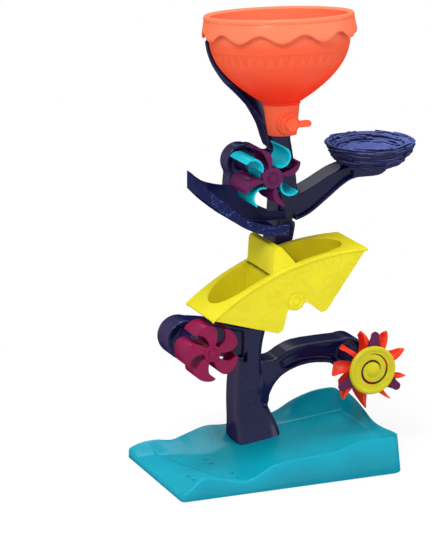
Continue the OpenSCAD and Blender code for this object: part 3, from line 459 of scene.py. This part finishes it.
def soft_max(a, b, blend):
    """The larger value, with a rounded corner where the two meet."""
    t = max(blend - abs(a - b), 0.0) / blend
    return max(a, b) + t * t * blend / 4


def soft_min(a, b, blend):
    """The smaller value, with a rounded corner where the two meet."""
    return -soft_max(-a, -b, blend)


def smooth_step(t):
    """Goes softly from 0 to 1 as t does."""
    t = min(max(t, 0.0), 1.0)
    return t * t * (3 - 2 * t)


def cad_copy(node):
    """A merged copy of a node's mesh, with its flat faces made whole."""
    bm = bmesh.new()
    bm.from_mesh(frame["nodes"][node].data)
    bmesh.ops.remove_doubles(bm, verts=bm.verts, dist=MERGE)
    bmesh.ops.dissolve_limit(bm, angle_limit=math.radians(0.5), use_dissolve_boundaries=False,
                             verts=bm.verts, edges=bm.edges)
    return bm


def soften(bm, width, segments, clamp):
    """Rounds the sharp edges."""
    edges = [e for e in bm.edges if e.is_manifold and e.calc_face_angle() > SHARP]
    bmesh.ops.bevel(bm, geom=edges, offset=width, offset_type="OFFSET", segments=segments, profile=0.5,
                    affect="EDGES", clamp_overlap=clamp, material=-1)


def revolve(bm, section, steps, space):
    """Spins a closed section of [radius, height] points about the upright axis of a space."""
    ring = [bm.verts.new((r, 0, h)) for r, h in section]
    edges = [bm.edges.new((ring[i - 1], ring[i])) for i in range(len(ring))]
    bmesh.ops.spin(bm, geom=ring + edges, cent=(0, 0, 0), axis=(0, 0, 1), angle=TURN, steps=steps,
                   use_merge=True)
    bmesh.ops.remove_doubles(bm, verts=bm.verts, dist=MERGE)
    bmesh.ops.recalc_face_normals(bm, faces=bm.faces)
    bm.transform(space)


def add_ring(bm, radius, tube, space):
    """Spins a round bead into a ring about the upright axis of a space."""
    before = len(bm.verts)
    start = Matrix.Translation((radius, 0, 0)) @ Matrix.Rotation(math.pi / 2, 4, "X")
    bead = bmesh.ops.create_circle(bm, cap_ends=False, radius=tube, segments=8, matrix=start)["verts"]
    edges = list({e for v in bead for e in v.link_edges})
    bmesh.ops.spin(bm, geom=bead + edges, cent=(0, 0, 0), axis=(0, 0, 1), angle=TURN, steps=40,
                   use_merge=True)
    bm.verts.ensure_lookup_table()
    bmesh.ops.transform(bm, matrix=space, verts=bm.verts[before:])


def skinned(nodes, voxel, passes):
    """One even skin over the nodes, whose edges and joints are rounded by smoothing."""
    bm = bmesh.new()
    for node in nodes:
        bm.from_mesh(frame["nodes"][node].data)
    bmesh.ops.remove_doubles(bm, verts=bm.verts, dist=MERGE)
    mesh = bpy.data.meshes.new("skin")
    bm.to_mesh(mesh)
    bm.free()
    obj = bpy.data.objects.new("skin", mesh)
    bpy.context.scene.collection.objects.link(obj)
    wrap = obj.modifiers.new("wrap", "REMESH")
    wrap.mode = "VOXEL"
    wrap.voxel_size = voxel
    skin = bmesh.new()
    skin.from_object(obj, bpy.context.evaluated_depsgraph_get())
    bpy.data.objects.remove(obj)
    bpy.data.meshes.remove(mesh)
    for _ in range(passes):
        bmesh.ops.smooth_vert(skin, verts=skin.verts, factor=0.5, use_axis_x=True, use_axis_y=True,
                              use_axis_z=True)
    return skin


def shared_out(skin, nodes):
    """Gives each face of a skin to the node that lies nearest to it."""
    boxes = {node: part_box(node) for node in nodes}
    trees = {}
    for node in nodes:
        copy = cad_copy(node)
        trees[node] = BVHTree.FromBMesh(copy)
        copy.free()
    shares = {node: [] for node in nodes}
    for face in skin.faces:
        spot = face.calc_center_median()
        near = [n for n in nodes if all(boxes[n][0][i] - 5 * MM < spot[i] < boxes[n][1][i] + 5 * MM
                                        for i in range(3))]
        owner = near[0] if len(near) == 1 else min(near, key=lambda n: trees[n].find_nearest(spot)[3])
        shares[owner].append(face.index)
    return shares


def place(name, bm, body, slot, finish, replaces=(), sharp=38.0):
    """Makes an object of a bmesh and hands it to its body."""
    mesh = bpy.data.meshes.new(name)
    bm.to_mesh(mesh)
    bm.free()
    mesh.shade_smooth()
    mesh.set_sharp_from_angle(angle=math.radians(sharp))
    mesh.materials.append(finish.material)
    obj = bpy.data.objects.new(name, mesh)
    bpy.context.scene.collection.objects.link(obj)
    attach(obj, body)
    if replaces:
        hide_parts(*replaces)
    return obj


def rounded_node(node, body, slot, finish, width, segments=3, clamp=False):
    """Replaces a node by a copy with rounded edges."""
    bm = cad_copy(node)
    soften(bm, width, segments, clamp)
    return place(node + "_moulding", bm, body, slot, finish, [node])


# Base tray, in millimetres: heights of the wall tops along its sides and its high end, the ridge before the
# low lip, and the line where the bank of the back wall meets the floor
FRONT_WAVE = [(0, 9), (12, 16), (28, 27.5), (42, 30), (60, 25.5), (90, 18.5), (104, 20), (120, 27.5), (138, 35),
              (180, 40), (225, 41.5), (250, 49.5), (270, 53.5), (300, 52)]
BACK_WAVE = [(0, 12), (20, 19), (42, 20.5), (66, 17.5), (90, 25), (116, 32.5), (144, 31), (185, 32), (222, 41),
             (246, 54), (266, 62), (286, 67), (310, 68)]
END_WAVE = [(-105, 52), (-80, 52), (-40, 47.5), (-10, 48), (20, 57), (50, 65), (80, 68), (105, 68)]
RIDGE = [(-110, 80), (-77, 72), (-54, 65), (-9, 50), (15, 42), (45, 33), (75, 26), (110, 20)]
BACK_FOOT = [(0, 72), (40, 68), (60, 56), (76, 44), (98, 37), (122, 48), (145, 62), (170, 72), (330, 72)]
DRAINS = [(83, 5), (36, -46), (93, -64)]


class TOWER_OT_base_tray(bpy.types.Operator):
    """Moulds the wavy base tray with its drain holes."""
    bl_idname = "tower.base_tray"
    bl_label = "Base Tray"

    basin_front = -90 * MM
    # The wall tops change from the front line to the back one over twice this
    turn_half = 20 * MM
    # Runs along the tray are in millimetres, as in the lines above
    end_from = 285
    end_fade = 25
    wall_in = 6 * MM
    bank_run = 25 * MM
    ridge_run = 7
    pool_end = 100
    pool_fade = 70
    corner_low = 6 * MM
    corner_high = 18 * MM
    drain_pitch = 18 * MM
    draft_h = 72 * MM
    # Share of the mesh that crowds to the walls, and of the edge radius that drops
    crowding = 0.35
    edge_drop = 0.8

    def half_width(self, x):
        half = tray_high.y
        for edge, radius in ((x - tray_low.x, self.corner_low), (tray_high.x - x, self.corner_high)):
            if edge < radius:
                half = min(half, tray_high.y - radius + math.sqrt(max(radius ** 2 - (radius - edge) ** 2, 0)))
        return half

    def rim_at(self, x, y, lines):
        """Height of the wall tops over a point."""
        front, back, end = lines[:3]
        run = (x - tray_low.x) / MM
        along = smooth_step((y + self.turn_half) / (2 * self.turn_half))
        wave = height_on(front, run) * (1 - along) + height_on(back, run) * along
        at_end = smooth_step((run - self.end_from) / self.end_fade)
        return (wave * (1 - at_end) + height_on(end, y / MM) * at_end) * MM

    def top_at(self, x, y, look, lines):
        """Height over a point: the floor with its ridge and pool, and the banks up to the wall tops."""
        run = (x - tray_low.x) / MM
        floor_end = tray_high.x - look.ledge_w
        share = (x - tray_low.x) / (floor_end - tray_low.x)
        floor = look.lip_h + (look.floor_h - look.lip_h) * min(share, 1.0)
        in_pool = smooth_step((run - height_on(lines[3], y / MM)) / self.ridge_run)
        floor -= look.pool_h * in_pool * (1 - smooth_step((run - self.pool_end) / self.pool_fade))
        foot = height_on(lines[4], run) * MM
        bank = 0.0
        for climb in ((y - foot) / (tray_high.y - self.wall_in - foot),
                      (self.basin_front - y) / (self.basin_front - tray_low.y - self.wall_in),
                      (x - floor_end) / (look.ledge_w - self.wall_in)):
            bank = soft_max(bank, climb, look.blend_r / self.bank_run)
        bank = soft_min(bank, 1.0, look.edge_r / self.bank_run)
        return floor + (self.rim_at(x, y, lines) - floor) * bank

    def execute(self, context):
        look = looks().tray
        lines = [curve_through(w, 6) for w in (FRONT_WAVE, BACK_WAVE, END_WAVE, RIDGE, BACK_FOOT)]
        size = tray_high - tray_low
        bm = bmesh.new()
        bmesh.ops.create_grid(bm, x_segments=round(size.x / look.mesh_step),
                              y_segments=round(size.y / look.mesh_step), size=0.5)
        foot = bm.verts.layers.float_vector.new("foot")
        for v in bm.verts:
            x = tray_low.x + size.x * (v.co.x + 0.5)
            share = math.sin(v.co.y * math.pi) * self.crowding + v.co.y * 2 * (1 - self.crowding)
            y = self.half_width(x) * share
            v[foot] = (x, y, 0.0)
            edge = min(x - tray_low.x, tray_high.x - x, self.half_width(x) - abs(y))
            drop = look.edge_r - math.sqrt(max(look.edge_r ** 2 - max(look.edge_r - edge, 0) ** 2, 0))
            lean = look.draft * self.rim_at(x, y, lines) / self.draft_h
            x -= lean * max(v.co.x, 0) * 2
            y -= lean * share
            v.co = (x, y, self.top_at(x, y, look, lines) - drop * self.edge_drop)
        self.drill(bm, look)
        outline = [e for e in bm.edges if e.is_boundary and all(self.on_outline(v[foot]) for v in e.verts)]
        walls = bmesh.ops.extrude_edge_only(bm, edges=outline)
        for v in walls["geom"]:
            if isinstance(v, bmesh.types.BMVert):
                v.co = v[foot]
        bmesh.ops.recalc_face_normals(bm, faces=bm.faces)
        tray = place("base_tray_moulding", bm, "tower", "tray_teal", tray_finish(), ["base_tray"])
        skin = tray.modifiers.new("skin", "SOLIDIFY")
        skin.thickness = look.skin
        skin.offset = -1.0
        return {"FINISHED"}

    def on_outline(self, point):
        x, y, _ = point
        return min(x - tray_low.x, tray_high.x - x, self.half_width(x) - abs(y)) < 0.1 * MM

    def drill(self, bm, look):
        """Opens the pairs of drain holes in the floor."""
        for run, y in DRAINS:
            for side in (-0.5, 0.5):
                centre = Vector((tray_low.x + run * MM, y * MM + side * self.drain_pitch))
                inside = [f for f in bm.faces if (f.calc_center_median().xy - centre).length < look.drain_r]
                bmesh.ops.delete(bm, geom=inside, context="FACES")
                for v in bm.verts:
                    away = v.co.xy - centre
                    if v.is_boundary and away.length < 2 * look.drain_r:
                        v.co.xy = centre + away.normalized() * look.drain_r


class TOWER_OT_tree(bpy.types.Operator):
    """Wraps the trunk and its branches in rounded bark."""
    bl_idname = "tower.tree"
    bl_label = "Trunk and Branches"

    nodes = ("trunk_lower", "trunk_upper", "left_branch", "right_branch", "wheel_branch", "nest_branch")

    def execute(self, context):
        look = looks().tree
        bark = bark_finish()
        skin = skinned(self.nodes, look.voxel, look.smoothing)
        for node, share in shared_out(skin, self.nodes).items():
            own = set(share)
            bm = skin.copy()
            bmesh.ops.delete(bm, geom=[f for f in bm.faces if f.index not in own], context="FACES")
            place(node + "_bark", bm, "tower", "bark_navy", bark, [node], 75.0)
        skin.free()
        return {"FINISHED"}


class TOWER_OT_slide(bpy.types.Operator):
    """Rounds the edges of the leaf slide and gives it its bark."""
    bl_idname = "tower.slide"
    bl_label = "Leaf Slide"

    def execute(self, context):
        rounded_node("leaf_slide", "tower", "bark_navy", slide_finish(), 0.7 * MM, 2)
        return {"FINISHED"}


class TOWER_OT_hopper(bpy.types.Operator):
    """Spins the hopper's bowl with its dripping rim and rounds the spout and the tap."""
    bl_idname = "tower.hopper"
    bl_label = "Hopper"

    first_drip = math.radians(265)
    rim_h = 6 * MM
    straight = 31 * MM
    bowl_round = 2.1
    spigot_r = 14.2 * MM
    steps_per_drip = 24
    wall_steps = 22
    roll_r = 3 * MM
    flare = 3 * MM
    edge_r = 1.5 * MM

    def bowl_at(self, depth, look):
        t = min(max((depth - self.straight) / (look.bowl_h - self.straight), 0), 1)
        return look.neck_r + (look.bowl_r - look.neck_r) * (1 - t ** self.bowl_round)

    def section(self, look):
        """Radius and depth round the wall, from the bore up the inside and down the outside."""
        depths = [self.straight + (look.bowl_h - self.straight) * (i / self.wall_steps)
                  for i in range(self.wall_steps + 1)]
        rim_r = look.drip_r - self.flare
        inside = [(max(self.bowl_at(d, look) - look.wall, self.spigot_r), d - 1 * MM) for d in reversed(depths)]
        roll = [(rim_r - self.roll_r + self.roll_r * math.sin(a), self.roll_r - self.roll_r * math.cos(a))
                for a in [math.pi / 2 * i / 6 - math.pi / 6 for i in range(9)]]
        skirt = look.drip_h - self.edge_r
        drip = [(rim_r + 0.3 * MM, self.rim_h), (rim_r - 0.4 * MM, self.rim_h + 1 * MM)]
        for i in range(1, 7):
            drip.append((rim_r + self.flare * (i / 6), self.rim_h + (skirt - self.rim_h) * i / 6))
        edge = [(look.drip_r - self.edge_r + self.edge_r * math.cos(a), skirt + self.edge_r * math.sin(a))
                for a in (math.pi / 4, math.pi / 2, math.pi * 3 / 4, math.pi)]
        back = [(rim_r - self.flare * i / 4, skirt + (self.rim_h - skirt) * i / 4) for i in range(1, 5)]
        neck = look.bowl_h
        outside = [(look.bowl_r + 1 * MM, self.rim_h + 1 * MM)] + [(self.bowl_at(d, look), d) for d in depths]
        foot = [(look.neck_r, neck + 2.6 * MM), (self.spigot_r, neck + 2.6 * MM)]
        return ([(self.spigot_r, neck)] + inside + [(look.bowl_r - 2 * MM, 3 * MM)] + roll + drip + edge + back
                + outside + foot)

    def drip_depth(self, angle, look):
        return look.drip_h - look.drip_gap * (1 - math.cos(look.drips * (angle - self.first_drip))) / 2

    def execute(self, context):
        look = looks().hopper
        foot = tap_at - hopper_up * look.tap_h
        space = Matrix.Translation(foot) @ hopper_up.to_track_quat("Z", "Y").to_matrix().to_4x4()
        bm = bmesh.new()
        section = [(r, look.height - d) for r, d in self.section(look)]
        revolve(bm, section, look.drips * self.steps_per_drip, Matrix.Identity(4))
        hang = look.drip_h - self.rim_h
        for v in bm.verts:
            depth = look.height - v.co.z
            if v.co.xy.length > look.bowl_r + 2.4 * MM and depth > self.rim_h + 0.5 * MM:
                angle = math.atan2(v.co.y, v.co.x)
                reach = (self.drip_depth(angle, look) - self.rim_h) / hang
                v.co.z = look.height - self.rim_h - (depth - self.rim_h) * reach
        self.lay_uv(bm, look)
        bm.transform(space)
        coral = hopper_finish()
        place("hopper_bowl_moulding", bm, "tower", "hopper_coral", coral, ["hopper_bowl"], 50.0)
        plain = moulded("spout_coral", looks().colours.coral, 0.42)
        rounded_node("hopper_spout", "tower", "hopper_coral", plain, 0.9 * MM)
        rounded_node("tap_barrel", "tap", "hopper_coral", plain, 1.2 * MM, 4)
        return {"FINISHED"}

    def lay_uv(self, bm, look):
        """Maps the turn round the axis and the depth below the rim."""
        layer = bm.loops.layers.uv.new("round")
        for face in bm.faces:
            middle = math.atan2(*face.calc_center_median().yx)
            for loop in face.loops:
                angle = math.atan2(loop.vert.co.y, loop.vert.co.x)
                angle += TURN * round((middle - angle) / TURN)
                loop[layer].uv = (angle / TURN + 0.5, (look.height - loop.vert.co.z) / look.bowl_h)


class TOWER_OT_nest(bpy.types.Operator):
    """Weaves the nest of twigs."""
    bl_idname = "tower.nest"
    bl_label = "Nest"

    # Radius and height up the outside, and radius and depth below the rim down the hollow
    side = ((0.0, 0.6 * MM), (30 * MM, 0.6 * MM), (45 * MM, 9 * MM), (54 * MM, 19 * MM))
    hollow = ((46 * MM, 15 * MM), (26 * MM, 17 * MM), (0.0, 17 * MM))
    steps = 72
    lump_h = 1.5 * MM
    lumps_per_metre = 90
    seed = 7

    def execute(self, context):
        look = looks().nest
        centre = Vector(((nest_low.x + nest_high.x) / 2, (nest_low.y + nest_high.y) / 2, nest_low.z))
        radius = (nest_high.x - nest_low.x) / 2 + look.flare
        height = nest_high.z - nest_low.z
        bm = bmesh.new()
        rim = ((radius - 5 * MM, height - 5 * MM), (radius - 9 * MM, height - 6 * MM))
        section = [*self.side, *rim, *((r, height - depth) for r, depth in self.hollow)]
        revolve(bm, section, self.steps, Matrix.Identity(4))
        bmesh.ops.subdivide_edges(bm, edges=bm.edges, cuts=1, use_grid_fill=True)
        for v in bm.verts:
            v.co += v.normal * noise.noise(v.co * self.lumps_per_metre) * self.lump_h
        draw = random.Random(self.seed)
        for i in range(look.twigs):
            share = draw.random()
            level = 3 * MM + (height - 6 * MM) * share
            out = 36 * MM + (radius - 40 * MM) * share ** 0.55
            self.twig(bm, draw, out, level, look.twig_r)
        for i in range(look.twigs // 3):
            share = draw.random()
            level = height - 18 * MM + 15 * MM * share
            self.twig(bm, draw, 40 * MM + (radius - 48 * MM) * share, level, look.twig_r)
        bmesh.ops.recalc_face_normals(bm, faces=bm.faces)
        bm.transform(Matrix.Translation(centre))
        place("nest_twigs", bm, "tower", "nest_indigo", twig_finish(), ["nest"], 70.0)
        return {"FINISHED"}

    def twig(self, bm, draw, out, level, thick):
        """One bent twig that lies round the nest."""
        before = len(bm.verts)
        turn = Matrix.Translation((out, 0, level)) @ Matrix.Rotation(math.pi / 2, 4, "X")
        size = thick * draw.uniform(0.7, 1.35)
        ring = bmesh.ops.create_circle(bm, cap_ends=False, radius=size, segments=6, matrix=turn)["verts"]
        edges = list({e for v in ring for e in v.link_edges})
        sweep = draw.uniform(0.5, 1.5)
        bmesh.ops.spin(bm, geom=ring + edges, cent=(0, 0, 0), axis=(0, 0, 1), angle=sweep, steps=12)
        bm.verts.ensure_lookup_table()
        fresh = bm.verts[before:]
        bmesh.ops.holes_fill(bm, edges=list({e for v in fresh for e in v.link_edges if e.is_boundary}), sides=6)
        bm.verts.ensure_lookup_table()
        fresh = bm.verts[before:]
        start = draw.uniform(0, TURN)
        rise = draw.uniform(-4, 4) * MM
        wave = draw.uniform(0, TURN)
        swing = draw.uniform(0.3, 1.3) * MM
        for v in fresh:
            angle = math.atan2(v.co.y, v.co.x)
            share = angle / sweep - 0.5
            stretch = 1 + swing * math.sin(7 * angle + wave) / out
            lift = rise * share + swing * math.sin(5 * angle - wave)
            v.co = (v.co.x * stretch, v.co.y * stretch, v.co.z + lift)
        bmesh.ops.rotate(bm, verts=fresh, cent=(0, 0, 0), matrix=Matrix.Rotation(start, 3, "Z"))


class TOWER_OT_wheels(bpy.types.Operator):
    """Rounds the blades and hubs of the upper wheel and the small wheel."""
    bl_idname = "tower.wheels"
    bl_label = "Wheels"

    def execute(self, context):
        colours = looks().colours
        plum = moulded("wheel_plum", colours.plum, 0.34)
        rounded_node("upper_wheel_blades", "upper_wheel", "wheel_plum", plum, 0.7 * MM)
        rounded_node("upper_wheel_cap", "upper_wheel", "wheel_plum", plum, 0.35 * MM)
        aqua = moulded("wheel_aqua", colours.aqua, 0.36)
        rounded_node("upper_wheel_buckets", "upper_wheel", "wheel_aqua", aqua, 0.7 * MM)
        magenta = moulded("wheel_magenta", colours.magenta, 0.34)
        rounded_node("small_wheel", "lower_wheel", "wheel_magenta", magenta, 0.7 * MM)
        rounded_node("small_wheel_cap", "lower_wheel", "wheel_magenta", magenta, 0.35 * MM)
        return {"FINISHED"}


class TOWER_OT_sun(bpy.types.Operator):
    """Rounds the sun's disc, petals and paddles."""
    bl_idname = "tower.sun"
    bl_label = "Sun Wheel"

    def execute(self, context):
        colours = looks().colours
        rounded_node("sun_disc", "sun_wheel", "tip_lime", lime_finish("sun_lime", tone=0.88), 0.5 * MM)
        petal = moulded("sun_plum", colours.plum, 0.4)
        rounded_node("sun_petals", "sun_wheel", "wheel_plum", petal, 1.2 * MM)
        flame = moulded("sun_flame", colours.flame, 0.38)
        rounded_node("sun_paddles", "sun_wheel", "sun_flame", flame, 0.6 * MM, 2, clamp=True)
        return {"FINISHED"}


class TOWER_OT_tipping_tray(bpy.types.Operator):
    """Rounds the tipping tray and presses rings into its skirts."""
    bl_idname = "tower.tipping_tray"
    bl_label = "Tipping Tray"

    tilt = math.radians(19)
    bead = 1.5 * MM
    tube = 0.8 * MM
    # Knots on the front skirt: place along and above the tray's own axes, and the radii of the rings
    knots = (((-28 * MM, 20 * MM), (11 * MM, 7 * MM, 3 * MM)), ((53 * MM, 10 * MM), (7.5 * MM, 4 * MM)))

    def execute(self, context):
        lime = lime_finish(contours=1.0)
        rounded_node("tipping_tray", "see_saw", "tip_lime", lime, 1.1 * MM)
        rounded_node("tipping_cap", "see_saw", "tip_lime", lime, 0.4 * MM)
        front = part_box("tipping_tray")[0].y + self.bead
        level = Matrix.Translation((tip_at.x, front, tip_at.z)) @ Matrix.Rotation(-self.tilt, 4, "Y")
        bm = bmesh.new()
        for (along, above), radii in self.knots:
            for radius in radii:
                space = level @ Matrix.Translation((along, 0, above)) @ Matrix.Rotation(math.pi / 2, 4, "X")
                add_ring(bm, radius, self.tube, space)
        bmesh.ops.remove_doubles(bm, verts=bm.verts, dist=MERGE)
        bmesh.ops.recalc_face_normals(bm, faces=bm.faces)
        place("tipping_tray_knots", bm, "see_saw", "tip_lime", lime)
        return {"FINISHED"}


class TOWER_OT_hardware(bpy.types.Operator):
    """Gives the pins, screws and the tap's clip their finish."""
    bl_idname = "tower.hardware"
    bl_label = "Pins and Screws"

    def execute(self, context):
        steel = steel_finish()
        clip = moulded("clip_coral", looks().colours.coral, 0.45)
        finishes = {"tap_clip": clip}
        for node in ("foot_screws", "joint_screws", "upper_wheel_axle", "small_wheel_axle", "sun_axle",
                     "tipping_axle", "tap_clip"):
            mesh = frame["nodes"][node].data
            mesh.materials.clear()
            mesh.materials.append(finishes.get(node, steel).material)
        return {"FINISHED"}


class TOWER_OT_stage(bpy.types.Operator):
    """Sets the floor, the light and the camera."""
    bl_idname = "tower.stage"
    bl_label = "Stage"

    eye = Vector((-1.5159, -3.43476, 1.28809))
    pitch = math.radians(74.86)
    heading = math.radians(-22.27)
    lens_px = 2838.7
    frame_h = 544
    sensor = 36.0
    seen_rays = ("Is Camera Ray", "Is Glossy Ray", "Is Transmission Ray")
    # Name, place, size and power of each lamp
    lamps = (("key_light", (-1.5, -1.7, 2.4), 0.8, 37.0), ("fill_light", (1.9, -1.6, 1.5), 1.6, 15.0),
             ("back_light", (0.6, 2.0, 1.9), 1.2, 14.0), ("top_light", (-0.2, -0.3, 2.6), 1.0, 34.0))
    aim = Vector((0, 0, 0.3))
    surroundings = 0.5

    def execute(self, context):
        self.floor()
        self.world(context.scene)
        for lamp in self.lamps:
            self.lamp(*lamp)
        lens = bpy.data.cameras.new("camera")
        lens.sensor_width = self.sensor
        lens.lens = self.lens_px * self.sensor / self.frame_h
        lens.clip_end = 50.0
        camera = bpy.data.objects.new("camera", lens)
        camera.location = self.eye
        camera.rotation_euler = (self.pitch, 0, self.heading)
        context.scene.collection.objects.link(camera)
        context.scene.camera = camera
        context.scene.view_settings.view_transform = "Standard"
        return {"FINISHED"}

    def floor(self):
        bm = bmesh.new()
        bmesh.ops.create_grid(bm, x_segments=1, y_segments=1, size=12.0)
        mesh = bpy.data.meshes.new("floor")
        bm.to_mesh(mesh)
        bm.free()
        floor = bpy.data.objects.new("floor", mesh)
        bpy.context.scene.collection.objects.link(floor)
        finish = Finish("floor_pale")
        finish.set(Base_Color=(0.86, 0.86, 0.86, 1), Roughness=0.9)
        path = finish.make("ShaderNodeLightPath")
        rays = [Wire(finish, path.outputs[name]) for name in self.seen_rays]
        seen = rays[0].greatest(rays[1]).greatest(rays[2])
        x, y, _ = finish.axes()
        away = (x * x + y * y).between(0.02, 0.5)
        glow = finish.make("ShaderNodeEmission", {}, {"Color": (1, 1, 1, 1), "Strength": 1.0})
        joined = finish.make("ShaderNodeMixShader", {}, {0: seen * (0.8 + away * 0.2)})
        finish.tree.links.new(finish.shader.outputs[0], joined.inputs[1])
        finish.tree.links.new(glow.outputs[0], joined.inputs[2])
        output = next(n for n in finish.tree.nodes if n.type == "OUTPUT_MATERIAL")
        finish.tree.links.new(joined.outputs[0], output.inputs[0])
        mesh.materials.append(finish.material)

    def world(self, scene):
        world = bpy.data.worlds.new("studio")
        world.use_nodes = True
        nodes, links = world.node_tree.nodes, world.node_tree.links
        nodes.clear()
        path = nodes.new("ShaderNodeLightPath")
        light = nodes.new("ShaderNodeBackground")
        light.inputs["Color"].default_value = (1.0, 0.99, 0.98, 1)
        light.inputs["Strength"].default_value = self.surroundings
        white = nodes.new("ShaderNodeBackground")
        white.inputs["Color"].default_value = (1, 1, 1, 1)
        mixed = nodes.new("ShaderNodeMixShader")
        output = nodes.new("ShaderNodeOutputWorld")
        seen = path.outputs[self.seen_rays[0]]
        for name in self.seen_rays[1:]:
            either = nodes.new("ShaderNodeMath")
            either.operation = "MAXIMUM"
            links.new(seen, either.inputs[0])
            links.new(path.outputs[name], either.inputs[1])
            seen = either.outputs[0]
        links.new(seen, mixed.inputs[0])
        links.new(light.outputs[0], mixed.inputs[1])
        links.new(white.outputs[0], mixed.inputs[2])
        links.new(mixed.outputs[0], output.inputs[0])
        scene.world = world

    def lamp(self, name, at, size, power):
        light = bpy.data.lights.new(name, "AREA")
        light.size = size
        light.energy = power
        lamp = bpy.data.objects.new(name, light)
        lamp.location = at
        lamp.rotation_euler = (self.aim - Vector(at)).to_track_quat("-Z", "Y").to_euler()
        bpy.context.scene.collection.objects.link(lamp)


OPERATORS = (TOWER_OT_base_tray, TOWER_OT_tree, TOWER_OT_slide, TOWER_OT_hopper, TOWER_OT_nest,
             TOWER_OT_wheels, TOWER_OT_sun, TOWER_OT_tipping_tray, TOWER_OT_hardware, TOWER_OT_stage)


class TOWER_PT_panel(bpy.types.Panel):
    """Lists the pieces of the tower and what can be changed."""
    bl_idname = "TOWER_PT_panel"
    bl_label = "Sand and Water Tower"
    bl_space_type = "VIEW_3D"
    bl_region_type = "UI"
    bl_category = "Tower"

    def draw(self, context):
        for group in (looks().tray, looks().tree, looks().hopper, looks().nest, looks().colours):
            box = self.layout.box()
            for name in group.bl_rna.properties.keys():
                if name not in ("rna_type", "name"):
                    box.prop(group, name)
        for operator in OPERATORS:
            self.layout.operator(operator.bl_idname)


CLASSES = (TrayLook, TreeLook, HopperLook, NestLook, TowerColours, TowerLook, *OPERATORS, TOWER_PT_panel)


def register():
    for cls in CLASSES:
        bpy.utils.register_class(cls)
    bpy.types.Scene.tower = bpy.props.PointerProperty(type=TowerLook)


def unregister():
    del bpy.types.Scene.tower
    for cls in reversed(CLASSES):
        bpy.utils.unregister_class(cls)


def main():
    register()
    bpy.ops.tower.base_tray()
    bpy.ops.tower.tree()
    bpy.ops.tower.slide()
    bpy.ops.tower.hopper()
    bpy.ops.tower.nest()
    bpy.ops.tower.wheels()
    bpy.ops.tower.sun()
    bpy.ops.tower.tipping_tray()
    bpy.ops.tower.hardware()
    bpy.ops.tower.stage()


if __name__ == "__main__":
    main()
